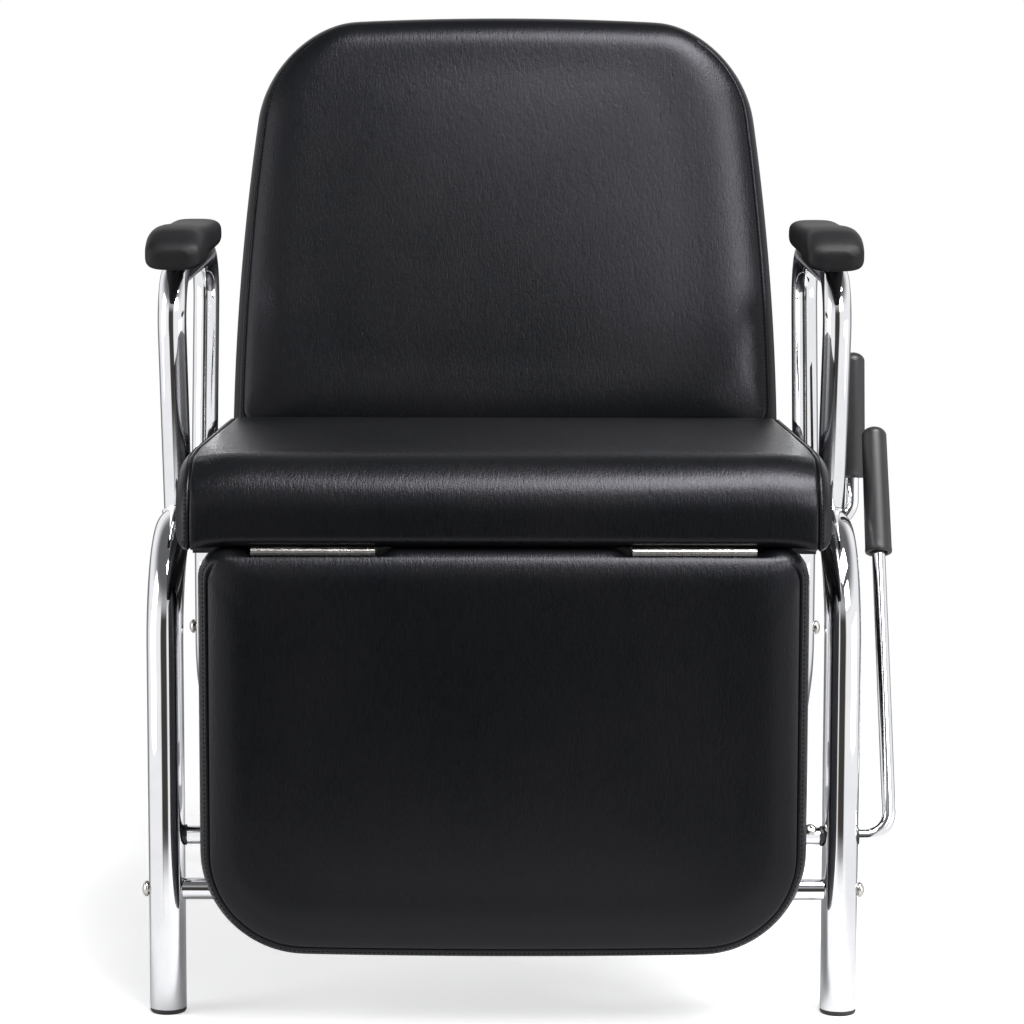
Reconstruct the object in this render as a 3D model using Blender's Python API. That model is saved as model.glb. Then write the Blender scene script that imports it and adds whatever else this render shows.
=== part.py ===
"""Shampoo chair: chromed tube frame, tilting back, hinged legrest and two side levers.

Metres, +Z up. The sitter faces -Y, so the sitter's left is +X. Pieces are placed from the chair's
mid-plane (X = 0), the front legs' centre line (Y = 0) and the floor (Z = 0). The last step moves the
whole chair so that the origin lies on the floor under the middle of its outline.
"""
from math import atan2, cos, hypot, pi, radians, sin, tan

import bmesh
import bpy
from mathutils import Matrix, Vector

# Fits
FIT = 0.0003             # gap between two pieces that touch
RUN = 0.0003             # radial running gap of a pin or shaft
SIDES = (("right", -1), ("left", 1))

# Side frames
SIDE_GAP = 0.0155        # seat edge to the leg's centre line
LEG_RADIUS = 0.016
TUBE_WALL = 0.0015
FRAME_TOP = 0.418        # centre line of the run beside the seat
FRONT_BEND = 0.095
REAR_BEND = 0.080
REAR_LEG_Y = 0.440
KICK_TOP = 0.238         # where the rear leg starts to kick rearward
KICK_END = 0.100
KICK_BEND = 0.065
REAR_FOOT_Y = 0.590
FOOT_HEIGHT = 0.0045
FOOT_PLUG = 0.020

# Arms
ARM_RADIUS = 0.0127
ARM_BEND = 0.042
ARM_FRONT_BASE_Y = 0.128
ARM_FRONT_TOP_Y = 0.076
ARM_FRONT_RISE = 0.222   # frame's centre line to the arm's front corner
ARM_REAR_TOP_Y = 0.428
ARM_REAR_RISE = 0.237
ARM_REAR_BASE_Y = 0.378
PAD_OFFSET = 0.0045      # pad centre inside the tube's centre
PAD_FRONT_Y = 0.030
PAD_LENGTH = 0.240
PAD_HALF_WIDTH = 0.0265
PAD_THICKNESS = 0.0385
PAD_NOSE_DROP = 0.042
PAD_REAR_THICKNESS = 0.024

# Cross bars
BAR_RADIUS = 0.0095
FRONT_BAR_Z = 0.110
REAR_BAR_Z = 0.276
BOLT_RADIUS = 0.004
BOLT_HEAD_RADIUS = 0.007
BOLT_HEAD_HEIGHT = 0.0055
BOLT_GRIP = 0.022        # how far a bolt goes into its bar

# Seat
SEAT_LIFT = 0.003        # seat board above the frame's centre line
SEAT_HALF_WIDTH = 0.279
SEAT_FRONT_Y = -0.080
SEAT_REAR_Y = 0.426
SEAT_FRONT_THICKNESS = 0.079
SEAT_REAR_THICKNESS = 0.069
SEAT_CORNER = 0.032
BOARD_INSET = 0.022      # cushion edge to board edge
SEAT_BOARD = 0.015
RAIL_INSET = 0.079       # seat edge to the rail's centre
RAIL_WIDTH = 0.020
RAIL_FRONT_Y = -0.012
RAIL_OVERRUN = 0.012     # rail end past the back's pivot
CROSS_RAIL_HEIGHT = 0.020
CROSS_RAIL_WIDTH = 0.025
CROSS_RAIL_Y = (("front", 0.205), ("rear", 0.310))
CROSS_RAIL_SETBACK = 0.006  # rail end inside the leg's centre line

# Back
BACK_PIVOT_Y = 0.450
BACK_TILT = radians(16)
BACK_LOW = 0.050         # pivot to the cushion's lower edge, along the back
BACK_HIGH = 0.482
BACK_HALF_WIDTH = 0.2725
BACK_TAPER = 0.126       # share of the width lost at the top
BACK_TOP_CORNER = 0.098
BACK_LOW_CORNER = 0.014
BACK_ARCH = 0.006
BACK_FRONT = 0.032       # pivot plane to the cushion's front edge
BACK_CROWN = 0.010
BACK_REAR = 0.035        # pivot plane to the board's rear face
PANEL_BOARD = 0.012
PLATE = 0.005            # steel plate of the hinge plates and lugs
FLANGE = 0.004
FLANGE_WIDTH = 0.030
FLANGE_LOW = 0.064
FLANGE_HIGH = 0.190
RECLINE = radians(40)

# Legrest and its hinges
HINGE_Y = -0.076
KNUCKLE_RADIUS = 0.0038
LEAF = 0.0017
HINGE_PIN_RADIUS = 0.0017
HINGE_LENGTH = 0.105
HINGE_INSET = 0.118      # seat edge to the hinge's middle
KNUCKLES = 5
KNUCKLE_GAP = 0.0004
LEGREST_HALF_WIDTH = 0.259
LEGREST_LOW_Z = 0.0715
LEGREST_DEPTH = 0.058    # hinge axis to the board's rear face
LEGREST_FRONT = 0.004    # cushion edge in front of the hinge axis
LEGREST_CROWN = 0.008
LEGREST_TOP_CORNER = 0.018
LEGREST_LOW_CORNER = 0.088
LEGREST_ARCH = 0.004

# Legrest lever and linkage
LEVER_Z = 0.158
LEVER_OFFSET = 0.0435    # leg's centre line to the lever's upright
ROD_RADIUS = 0.006
ROD_BEND = 0.022
LEVER_LEAN = radians(27)
LEVER_LENGTH = 0.385
SLEEVE_RADIUS = 0.008
BUSH_RADIUS = 0.0078
BUSH_FLANGE = 0.0012
BUSH_FLANGE_RADIUS = 0.0092
SCREW_INSET = 0.0265     # leg's centre line to the sleeve's screw
SCREW_TURN = radians(50)  # screw axis above the horizontal, towards the front
SCREW_RADIUS = 0.0025
SCREW_HEAD_RADIUS = 0.0055
SCREW_HEAD = 0.0035
CRANK_X = 0.120
CRANK = 0.006
CRANK_LENGTH = 0.076
CRANK_HUB_RADIUS = 0.014
CRANK_TIP_RADIUS = 0.011
BRACKET_LENGTH = 0.090   # bracket below its stud
STUD_PROUD = 0.003
BRACKET_PIN = (0.088, -0.024)  # from the hinge axis, rearward and up
PIN_RADIUS = 0.004
LINK = 0.005
LINK_EYE_RADIUS = 0.010
LINK_TIP_RADIUS = 0.0088
LINK_PLAY = (-0.0123, 0.0119)  # slack of the slotted end along the link
LINK_SIDE_PLAY = 0.0024
GRIP_LENGTH = 0.122
GRIP_TOP_RADIUS = 0.0113
GRIP_LOW_RADIUS = 0.01225
GRIP_END = 0.010         # solid rubber past the rod's end

# Recline lever and the back's rod lock
SHAFT_Y = 0.350
SHAFT_DROP = 0.025       # shaft below the frame's centre line
SHAFT_OVERRUN = 0.006    # shaft end past the right rail's centre
RECLINE_LEAN = radians(6)
RECLINE_LENGTH = 0.165
LUG_WIDTH = 0.028
LUG_DROP = 0.012         # lug below the shaft's centre
FINGER_REACH = 0.023     # shaft axis to the plunger
FINGER_THICK = 0.008
FINGER_WIDTH = 0.010
PLUNGER_RADIUS = 0.003
PLUNGER_LENGTH = 0.024
LOCK_ARM = 0.065         # back pivot to the lock pin at rest
LOCK_ROD_RADIUS = 0.005
LOCK_ROD_LENGTH = 0.282
LOCK_HALF_WIDTH = 0.016
LOCK_FRONT_Y = 0.296
LOCK_REAR_Y = 0.386
LOCK_BELOW = 0.018       # lock head below the rod's axis
LOCK_PLATE = 0.0035
ARM_PLATE = 0.006
FORK_CHEEK = 0.005
FORK_HALF_HEIGHT = 0.009
FORK_REACH = 0.016       # fork throat in front of the lock pin

# Places that follow from the sizes above
LEG_X = SEAT_HALF_WIDTH + SIDE_GAP
PAD_X = LEG_X - PAD_OFFSET
ARM_FRONT_TOP = (ARM_FRONT_TOP_Y, FRAME_TOP + ARM_FRONT_RISE)
ARM_REAR_TOP = (ARM_REAR_TOP_Y, FRAME_TOP + ARM_REAR_RISE)
PAD_TOP = ARM_FRONT_TOP[1] + ARM_RADIUS + FIT + PAD_THICKNESS
SEAT_BASE = FRAME_TOP + SEAT_LIFT
SEAT_FRONT_TOP = SEAT_BASE + SEAT_FRONT_THICKNESS
SEAT_REAR_TOP = SEAT_BASE + SEAT_REAR_THICKNESS
RAIL_X = SEAT_HALF_WIDTH - RAIL_INSET
CROSS_RAIL_HALF = LEG_X - CROSS_RAIL_SETBACK
HINGE_X = SEAT_HALF_WIDTH - HINGE_INSET
LEVER_X = LEG_X + LEVER_OFFSET
SCREW_X = LEG_X - SCREW_INSET
SHAFT_Z = FRAME_TOP - SHAFT_DROP
SHAFT_END_X = -RAIL_X - SHAFT_OVERRUN
CROSS_RAIL_TOP = FRAME_TOP - LEG_RADIUS - FIT
CROSS_RAIL_LOW = CROSS_RAIL_TOP - CROSS_RAIL_HEIGHT
RAIL_LOW = CROSS_RAIL_TOP + FIT
RAIL_TOP = SEAT_BASE - FIT
BACK_PIVOT_Z = (RAIL_LOW + RAIL_TOP) / 2
HINGE_Z = RAIL_TOP - KNUCKLE_RADIUS
LOCK_Z = BACK_PIVOT_Z - LOCK_ARM * cos(RECLINE / 2)
LOCK_PIN_Y = BACK_PIVOT_Y + LOCK_ARM * sin(RECLINE / 2)
LOCK_TOP = CROSS_RAIL_LOW - 2 * FIT - LOCK_PLATE

# Finishes: colour, roughness, metallic
CHROME = ((0.82, 0.83, 0.85), 0.06, 1.0)
NICKEL = ((0.62, 0.60, 0.57), 0.22, 1.0)
ZINC = ((0.50, 0.51, 0.52), 0.38, 1.0)
BLACK_STEEL = ((0.02, 0.02, 0.022), 0.45, 0.0)
VINYL = ((0.018, 0.019, 0.021), 0.42, 0.0)
URETHANE = ((0.015, 0.015, 0.016), 0.55, 0.0)
RUBBER = ((0.03, 0.03, 0.032), 0.5, 0.0)
PLYWOOD = ((0.55, 0.40, 0.25), 0.65, 0.0)
NYLON = ((0.022, 0.022, 0.024), 0.45, 0.0)


def clear_scene():
    """Remove what the scene holds, so that the chair is alone in it."""
    for thing in list(bpy.data.objects):
        bpy.data.objects.remove(thing, do_unlink=True)


def pivot(name, place=(0, 0, 0), parent=None, tilt=0.0):
    """An empty on a joint's axis, tilted about X."""
    empty = bpy.data.objects.new(name, None)
    bpy.context.scene.collection.objects.link(empty)
    empty.location = place
    empty.rotation_euler.x = tilt
    empty.parent = parent
    return empty


def finish(name, look):
    """A piece's own material."""
    colour, roughness, metallic = look
    material = bpy.data.materials.new(name)
    material.use_nodes = True
    shader = material.node_tree.nodes["Principled BSDF"]
    shader.inputs["Base Color"].default_value = (*colour, 1)
    shader.inputs["Roughness"].default_value = roughness
    shader.inputs["Metallic"].default_value = metallic
    material.diffuse_color = (*colour, 1)
    return material


def piece(name, mesh, parent, look, place=(0, 0, 0), turn=(0, 0, 0)):
    """One named sub-part with its own finish."""
    mesh.name = name
    mesh.shade_smooth()
    mesh.set_sharp_from_angle(angle=radians(35))
    thing = bpy.data.objects.new(name, mesh)
    bpy.context.scene.collection.objects.link(thing)
    thing.parent = parent
    thing.location = place
    thing.rotation_euler = turn
    mesh.materials.clear()
    mesh.materials.append(finish(name, look))
    return thing


def tool(name, mesh, parent, place=(0, 0, 0), turn=(0, 0, 0)):
    """A hidden shape that cuts a piece or is joined to one."""
    thing = bpy.data.objects.new(name, mesh)
    bpy.context.scene.collection.objects.link(thing)
    thing.parent = parent
    thing.location = place
    thing.rotation_euler = turn
    thing.hide_render = True
    thing.display_type = "WIRE"
    return thing


def combine(target, shape, operation):
    """Cut a hidden shape out of a piece (DIFFERENCE) or join it on (UNION)."""
    step = target.modifiers.new(shape.name, "BOOLEAN")
    step.object = shape
    step.operation = operation
    step.solver = "EXACT"


def closed_mesh(shape):
    """Turn a bmesh into a mesh whose faces point out."""
    bmesh.ops.recalc_face_normals(shape, faces=shape.faces)
    mesh = bpy.data.meshes.new("shape")
    shape.to_mesh(mesh)
    shape.free()
    return mesh


def prism(outline, low, high):
    """A plate: an outline of (y, z) points, extruded along X."""
    shape = bmesh.new()
    face = shape.faces.new([shape.verts.new((low, y, z)) for y, z in outline])
    grown = bmesh.ops.extrude_face_region(shape, geom=[face])["geom"]
    moved = [part for part in grown if isinstance(part, bmesh.types.BMVert)]
    bmesh.ops.translate(shape, verts=moved, vec=(high - low, 0, 0))
    return closed_mesh(shape)


def block(low, high):
    """A box between two corners."""
    outline = [(low[1], low[2]), (high[1], low[2]), (high[1], high[2]), (low[1], high[2])]
    return prism(outline, low[0], high[0])


def turned(profile, sides=12):
    """A turned solid about Z; the profile of (radius, z) starts and ends on the axis or closes on itself."""
    shape = bmesh.new()
    points = [shape.verts.new((radius, 0, z)) for radius, z in profile]
    edges = [shape.edges.new(pair) for pair in zip(points, points[1:])]
    if profile[0][0] > 0:
        edges.append(shape.edges.new((points[-1], points[0])))
    bmesh.ops.spin(shape, geom=points + edges, axis=(0, 0, 1), cent=(0, 0, 0), angle=2 * pi, steps=sides,
                   use_merge=True)
    bmesh.ops.remove_doubles(shape, verts=shape.verts, dist=1e-6)
    return closed_mesh(shape)


def route(corners, radii, step=radians(15)):
    """Points along straight runs that are joined by arcs of the given radii."""
    corners = [Vector(corner) for corner in corners]
    points = [corners[0]]
    for before, corner, after, radius in zip(corners, corners[1:], corners[2:], radii):
        inward = (before - corner).normalized()
        outward = (after - corner).normalized()
        half = inward.angle(outward) / 2
        centre = corner + (inward + outward).normalized() * radius / sin(half)
        start = corner + inward * radius / tan(half) - centre
        end = corner + outward * radius / tan(half) - centre
        turn = pi - 2 * half
        axis = start.cross(end).normalized()
        count = max(2, round(turn / step))
        points += [centre + Matrix.Rotation(turn * i / count, 3, axis) @ start for i in range(count + 1)]
    return points + [corners[-1]]


def tube(points, radius, wall=0.0, sides=12):
    """A round rod along the points, or a tube where a wall is given."""
    curve = bpy.data.curves.new("route", "CURVE")
    curve.dimensions = "3D"
    curve.bevel_depth = radius
    curve.bevel_resolution = sides // 2 - 2
    curve.use_fill_caps = wall == 0
    spline = curve.splines.new("POLY")
    spline.points.add(len(points) - 1)
    for point, place in zip(spline.points, points):
        point.co = (*place, 1)
    guide = bpy.data.objects.new("route", curve)
    bpy.context.scene.collection.objects.link(guide)
    if wall:
        shell = guide.modifiers.new("Wall", "SOLIDIFY")
        shell.thickness = wall
        shell.offset = -1
    graph = bpy.context.evaluated_depsgraph_get()
    mesh = bpy.data.meshes.new_from_object(guide.evaluated_get(graph), depsgraph=graph)
    bpy.data.objects.remove(guide, do_unlink=True)
    return mesh


def across(low, high, y, z, radius, wall=0.0, sides=12):
    """A round bar along X."""
    return tube([(low, y, z), (high, y, z)], radius, wall, sides)


def arc(centre, radius, start, end, count):
    """Points of an arc in a plane, from one angle to another."""
    angles = [start + (end - start) * i / count for i in range(count + 1)]
    return [(centre[0] + radius * cos(a), centre[1] + radius * sin(a)) for a in angles]


def strap(first, first_radius, second, second_radius, count=6):
    """Outline of a flat bar with round ends of two radii."""
    run = (second[0] - first[0], second[1] - first[1])
    heading = atan2(run[1], run[0])
    lean = pi / 2 + atan2(second_radius - first_radius, hypot(*run))
    tail = arc(first, first_radius, heading + lean, heading + 2 * pi - lean, count)
    return tail + arc(second, second_radius, heading - lean, heading + lean, count)


def panel_outline(size, corners, inset, taper=0.0, arch=0.0, arc_steps=5, edge_steps=5):
    """A cushion's outline: half width, low and high edge, low and high corner radius, drawn in by inset."""
    half, low, high = size
    middle = (low + high) / 2
    span = high - low
    half, low, high = half - inset, low + inset, high - inset
    low_radius, high_radius = [max(radius - inset, 0.004) for radius in corners]
    points = []
    for x, y, radius, start in ((half, low, low_radius, -pi / 2), (half, high, high_radius, 0),
                                (-half, high, high_radius, pi / 2), (-half, low, low_radius, pi)):
        centre = (x - radius if x > 0 else x + radius, y + radius if y < middle else y - radius)
        bend = arc(centre, radius, start, start + pi / 2, arc_steps)
        if points:
            points += edge_points(points[-1], bend[0], edge_steps)
        points += bend
    points += edge_points(points[-1], points[0], edge_steps)
    shaped = []
    for x, y in points:
        rise = (y - middle + span / 2) / span
        swell = arch * (1 - (x / size[0]) ** 2) * (rise if y > middle else rise - 1)
        shaped.append((x * (1 - taper * rise * rise), y + swell))
    return shaped


def edge_points(start, end, count):
    """Points between the ends of a straight edge, without the ends."""
    steps = [i / count for i in range(1, count)]
    return [(start[0] + (end[0] - start[0]) * t, start[1] + (end[1] - start[1]) * t) for t in steps]


def cushion(loops):
    """A closed cushion through loops of points, from its rear face to its crown."""
    shape = bmesh.new()
    rows = [[shape.verts.new(point) for point in loop] for loop in loops]
    for row, after in zip(rows, rows[1:]):
        for i in range(len(row)):
            j = (i + 1) % len(row)
            shape.faces.new((row[i], row[j], after[j], after[i]))
    for row in (rows[0], rows[-1]):
        shape.faces.new(row)
    return closed_mesh(shape)


def padded_rings(depth, crown, reach):
    """Insets and heights of a cushion's loops: drawn-in side, rolled edge and crowned face."""
    side = [(0.007, 0.0), (0.002, 0.12), (0.0, 0.40), (0.001, 0.62), (0.005, 0.82), (0.014, 0.95), (0.028, 1.0)]
    rings = [(inset, depth * share) for inset, share in side]
    for share in (0.35, 0.65, 0.92):
        inset = 0.028 + (reach - 0.028) * share
        rings.append((inset, depth + crown * (1 - (1 - share) ** 2)))
    return rings


def frame_route(side):
    """Centre line of one side frame, from the front foot over the arch to the rear foot."""
    foot = FOOT_HEIGHT + FIT
    x = side * LEG_X
    corners = [(x, 0, foot), (x, 0, FRAME_TOP), (x, REAR_LEG_Y, FRAME_TOP), (x, REAR_LEG_Y, KICK_TOP),
               (x, REAR_FOOT_Y, KICK_END), (x, REAR_FOOT_Y, foot)]
    return route(corners, (FRONT_BEND, REAR_BEND, KICK_BEND, KICK_BEND))


def build_side_frames(chair):
    """Two bent tubes with their foot caps; returns the shapes that cope whatever meets the tubes."""
    copes = {}
    through = LEG_RADIUS + 0.006
    plug = (LEG_RADIUS - TUBE_WALL) * cos(pi / 12) - FIT
    cap = [(0, 0), (LEG_RADIUS - 0.001, 0), (LEG_RADIUS, 0.001), (LEG_RADIUS, FOOT_HEIGHT), (plug, FOOT_HEIGHT),
           (plug, FOOT_HEIGHT + FOOT_PLUG), (0, FOOT_HEIGHT + FOOT_PLUG)]
    for hand, side in SIDES:
        path = frame_route(side)
        frame = piece(f"side_frame_{hand}", tube(path, LEG_RADIUS, TUBE_WALL), chair, CHROME)
        copes[side] = tool(f"cope_{hand}", tube(path, LEG_RADIUS + FIT), chair)
        x = side * LEG_X
        for end, y, z in (("front", 0, FRONT_BAR_Z), ("rear", REAR_LEG_Y, REAR_BAR_Z)):
            hole = across(x - through, x + through, y, z, BOLT_RADIUS + FIT, sides=10)
            combine(frame, tool(f"bolt_hole_{end}_{hand}", hole, chair), "DIFFERENCE")
        inner = x - side * through
        outer = x + side * through if side > 0 else x
        hole = across(*sorted((inner, outer)), 0, LEVER_Z, BUSH_RADIUS + FIT)
        combine(frame, tool(f"bush_hole_{hand}", hole, chair), "DIFFERENCE")
        for end, y in (("front", 0), ("rear", REAR_FOOT_Y)):
            piece(f"foot_cap_{end}_{hand}", turned(cap), chair, RUBBER, (x, y, 0))
    return copes


def build_cross_bars(chair, copes):
    """Front and rear cross bars, coped to the legs and held by a dome-head bolt at each end."""
    for end, y, z in (("front", 0, FRONT_BAR_Z), ("rear", REAR_LEG_Y, REAR_BAR_Z)):
        wall = BAR_RADIUS - BOLT_RADIUS - FIT
        bar = piece(f"cross_bar_{end}", across(-LEG_X, LEG_X, y, z, BAR_RADIUS, wall), chair, CHROME)
        for hand, side in SIDES:
            combine(bar, copes[side], "DIFFERENCE")
            seat = LEG_X + LEG_RADIUS + FIT
            turn = (0, side * pi / 2, 0)
            bolt = dome_bolt(2 * LEG_RADIUS + BOLT_GRIP)
            piece(f"cross_bolt_{end}_{hand}", bolt, chair, NICKEL, (side * seat, y, z), turn)


def dome_bolt(length):
    """A dome-head bolt along Z, with the underside of its head at the origin."""
    dome = [(BOLT_HEAD_RADIUS * cos(a), BOLT_HEAD_HEIGHT * (0.25 + 0.75 * sin(a)))
            for a in (0, pi / 6, pi / 3)]
    profile = [(0, -length), (BOLT_RADIUS, -length), (BOLT_RADIUS, 0), (BOLT_HEAD_RADIUS, 0)]
    return turned(profile + dome + [(0, BOLT_HEAD_HEIGHT)], 10)


def build_arms(chair, copes):
    """Bent arm tubes welded on the side frames, and moulded pads on them."""
    for hand, side in SIDES:
        x = side * LEG_X
        corners = [(x, ARM_FRONT_BASE_Y, FRAME_TOP), (x, *ARM_FRONT_TOP), (x, *ARM_REAR_TOP),
                   (x, ARM_REAR_BASE_Y, FRAME_TOP - REAR_BEND * 0.05)]
        path = route(corners, (ARM_BEND, ARM_BEND))
        arm = piece(f"arm_tube_{hand}", tube(path, ARM_RADIUS, TUBE_WALL), chair, CHROME)
        combine(arm, copes[side], "DIFFERENCE")
        piece(f"arm_pad_{hand}", arm_pad(side), chair, URETHANE)


def arm_pad(side):
    """A moulded pad: rounded sections along the arm, with a wide nose that droops over its front bend."""
    slope = (ARM_REAR_TOP[1] - ARM_FRONT_TOP[1]) / (ARM_REAR_TOP[0] - ARM_FRONT_TOP[0])
    loops = []
    stations = ((0.0, 0.72, 0.90, 0.58), (0.012, 0.92, 0.97, 0.44), (0.05, 1.0, 1.0, 0.27), (0.11, 1.02, 1.0, 0.12),
                (0.20, 1.02, 0.99, 0.02), (0.31, 1.0, 0.93, 0.0), (0.42, 0.96, 0.0, 0.0), (0.70, 0.89, 0.0, 0.0),
                (0.92, 0.85, 0.0, 0.03), (0.985, 0.78, 0.0, 0.10), (1.0, 0.62, 0.0, 0.20))
    for along, width, nose, dip in stations:
        y = PAD_FRONT_Y + along * PAD_LENGTH
        seat = ARM_FRONT_TOP[1] + (y - ARM_FRONT_TOP[0]) * slope + ARM_RADIUS + FIT
        rear_top = seat + PAD_REAR_THICKNESS
        top = PAD_TOP - (PAD_TOP - rear_top) * min(1.0, along / 0.7) - dip * PAD_THICKNESS
        bottom = PAD_TOP - PAD_NOSE_DROP * nose if nose else seat
        half = PAD_HALF_WIDTH * width
        middle = (top + bottom) / 2
        tall = (top - bottom) / 2
        ring = [(sign_power(cos(a), 0.55), sign_power(sin(a), 0.6)) for a in [pi / 8 * i for i in range(16)]]
        loops.append([(side * PAD_X + half * u, y, middle + tall * v) for u, v in ring])
    return cushion(loops)


def sign_power(value, power):
    """A power that keeps the sign, for rounded-rectangle sections."""
    return abs(value) ** power * (1 if value >= 0 else -1)


def build_seat(chair):
    """Rails, board and cushion of the seat."""
    rail_end = BACK_PIVOT_Y + RAIL_OVERRUN
    for hand, side in SIDES:
        x = side * RAIL_X
        half = RAIL_WIDTH / 2
        rail = block((x - half, RAIL_FRONT_Y, RAIL_LOW), (x + half, rail_end, RAIL_TOP))
        rail = piece(f"seat_rail_{hand}", rail, chair, BLACK_STEEL)
        hole = across(x - RAIL_WIDTH, x + RAIL_WIDTH, BACK_PIVOT_Y, BACK_PIVOT_Z, BOLT_RADIUS + RUN, sides=10)
        combine(rail, tool(f"rail_hole_{hand}", hole, chair), "DIFFERENCE")
    for end, y in CROSS_RAIL_Y:
        low = (-CROSS_RAIL_HALF, y - CROSS_RAIL_WIDTH / 2, CROSS_RAIL_LOW)
        high = (CROSS_RAIL_HALF, y + CROSS_RAIL_WIDTH / 2, CROSS_RAIL_TOP)
        piece(f"seat_cross_rail_{end}", block(low, high), chair, BLACK_STEEL)
    half = SEAT_HALF_WIDTH - BOARD_INSET
    front = SEAT_FRONT_Y + BOARD_INSET
    rear = SEAT_REAR_Y - BOARD_INSET
    top = SEAT_BASE + SEAT_BOARD
    piece("seat_board", block((-half, front, SEAT_BASE), (half, rear, top)), chair, PLYWOOD)
    pocket = block((-half - FIT, front - FIT, SEAT_BASE - 0.02), (half + FIT, rear + FIT, top + FIT))
    body = piece("seat_cushion", cushion(seat_loops()), chair, VINYL)
    combine(body, tool("seat_pocket", pocket, chair), "DIFFERENCE")


def seat_loops():
    """Loops of the seat cushion, thicker at the front roll than at the rear."""
    crown = 0.008
    depth = SEAT_FRONT_TOP - SEAT_BASE - crown
    loops = []
    for inset, height in padded_rings(depth, crown, SEAT_HALF_WIDTH * 0.85):
        outline = panel_outline((SEAT_HALF_WIDTH, SEAT_FRONT_Y, SEAT_REAR_Y), (SEAT_CORNER, SEAT_CORNER), inset)
        loop = []
        for x, y in outline:
            rear = (y - SEAT_FRONT_Y) / (SEAT_REAR_Y - SEAT_FRONT_Y)
            share = 1 - rear * (SEAT_FRONT_TOP - SEAT_REAR_TOP) / (SEAT_FRONT_TOP - SEAT_BASE)
            loop.append((x, y, SEAT_BASE + height * share))
        loops.append(loop)
    return loops


def build_back(chair):
    """The tilting back on its pivot: board, cushion, hinge plates, pivot bolts and lock arm."""
    axis = pivot("back_pivot", (0, BACK_PIVOT_Y, BACK_PIVOT_Z), chair, -BACK_TILT)
    size = (BACK_HALF_WIDTH, BACK_LOW, BACK_HIGH)
    corners = (BACK_LOW_CORNER, BACK_TOP_CORNER)
    board_front = BACK_REAR - PANEL_BOARD
    board = panel_prism(panel_outline(size, corners, BOARD_INSET, BACK_TAPER, BACK_ARCH), board_front, BACK_REAR)
    piece("back_board", board, axis, PLYWOOD)
    depth = BACK_REAR + BACK_FRONT
    loops = []
    for inset, height in padded_rings(depth, BACK_CROWN, BACK_HALF_WIDTH * 0.7):
        outline = panel_outline(size, corners, inset, BACK_TAPER, BACK_ARCH)
        loops.append([(x, BACK_REAR - height, z) for x, z in outline])
    body = piece("back_cushion", cushion(loops), axis, VINYL)
    opening = panel_outline(size, corners, BOARD_INSET - FIT, BACK_TAPER, BACK_ARCH)
    pocket = tool("back_pocket", panel_prism(opening, board_front - FIT, BACK_REAR + 0.02), axis)
    combine(body, pocket, "DIFFERENCE")
    face = BACK_REAR + FIT
    horn = [(face, FLANGE_LOW - 0.010), (face - 0.010, FLANGE_LOW - 0.022)]
    horn += arc((0, 0), 0.016, radians(70), radians(285), 8)
    horn += [(face + 0.024, FLANGE_LOW - 0.016), (face + 0.024, FLANGE_LOW + 0.050), (face + FLANGE, FLANGE_HIGH),
             (face, FLANGE_HIGH)]
    for hand, side in SIDES:
        inner = RAIL_X + RAIL_WIDTH / 2 + FIT
        web = prism(horn, *sorted((side * inner, side * (inner + PLATE))))
        plate = piece(f"back_hinge_plate_{hand}", web, axis, ZINC)
        low = min(side * inner, side * (inner + FLANGE_WIDTH))
        flange = block((low, face, FLANGE_LOW), (low + FLANGE_WIDTH, face + FLANGE, FLANGE_HIGH))
        combine(plate, tool(f"hinge_flange_{hand}", flange, axis), "UNION")
        x = side * (inner + PLATE / 2)
        hole = across(x - PLATE, x + PLATE, 0, 0, BOLT_RADIUS + RUN, sides=10)
        combine(plate, tool(f"plate_hole_{hand}", hole, axis), "DIFFERENCE")
        place = (side * (inner + PLATE + FIT), 0, 0)
        bolt = dome_bolt(RAIL_WIDTH + PLATE + 0.006)
        piece(f"back_pivot_bolt_{hand}", bolt, axis, NICKEL, place, (0, side * pi / 2, 0))
    build_lock_arm(axis, face)


def build_lock_arm(axis, face):
    """The steel arm on the back that the lock rod holds, with a slot along its length for the pin."""
    heading = -pi / 2 + RECLINE / 2 + BACK_TILT
    near = LOCK_ARM * cos(RECLINE / 2)
    ends = [(radius * cos(heading), radius * sin(heading)) for radius in (near, LOCK_ARM)]
    root = (face + 0.013, FLANGE_LOW + 0.016)
    web = prism(strap(ends[1], 0.013, root, 0.013), -ARM_PLATE / 2, ARM_PLATE / 2)
    arm = piece("back_lock_arm", web, axis, ZINC)
    foot = block((-FLANGE_WIDTH / 2, face, FLANGE_LOW), (FLANGE_WIDTH / 2, face + FLANGE, FLANGE_HIGH))
    combine(arm, tool("lock_arm_foot", foot, axis), "UNION")
    trim = block((-ARM_PLATE, face - 0.05, BACK_LOW - 0.004), (ARM_PLATE, face, FLANGE_HIGH))
    combine(arm, tool("lock_arm_trim", trim, axis), "DIFFERENCE")
    slot = strap(ends[0], PIN_RADIUS + 2 * RUN, ends[1], PIN_RADIUS + 2 * RUN)
    combine(arm, tool("lock_arm_slot", prism(slot, -ARM_PLATE, ARM_PLATE), axis), "DIFFERENCE")


def panel_prism(outline, front, rear):
    """A board: an outline of (x, z) points, extruded along Y."""
    return cushion([[(x, y, z) for x, z in outline] for y in (rear, front)])


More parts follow.
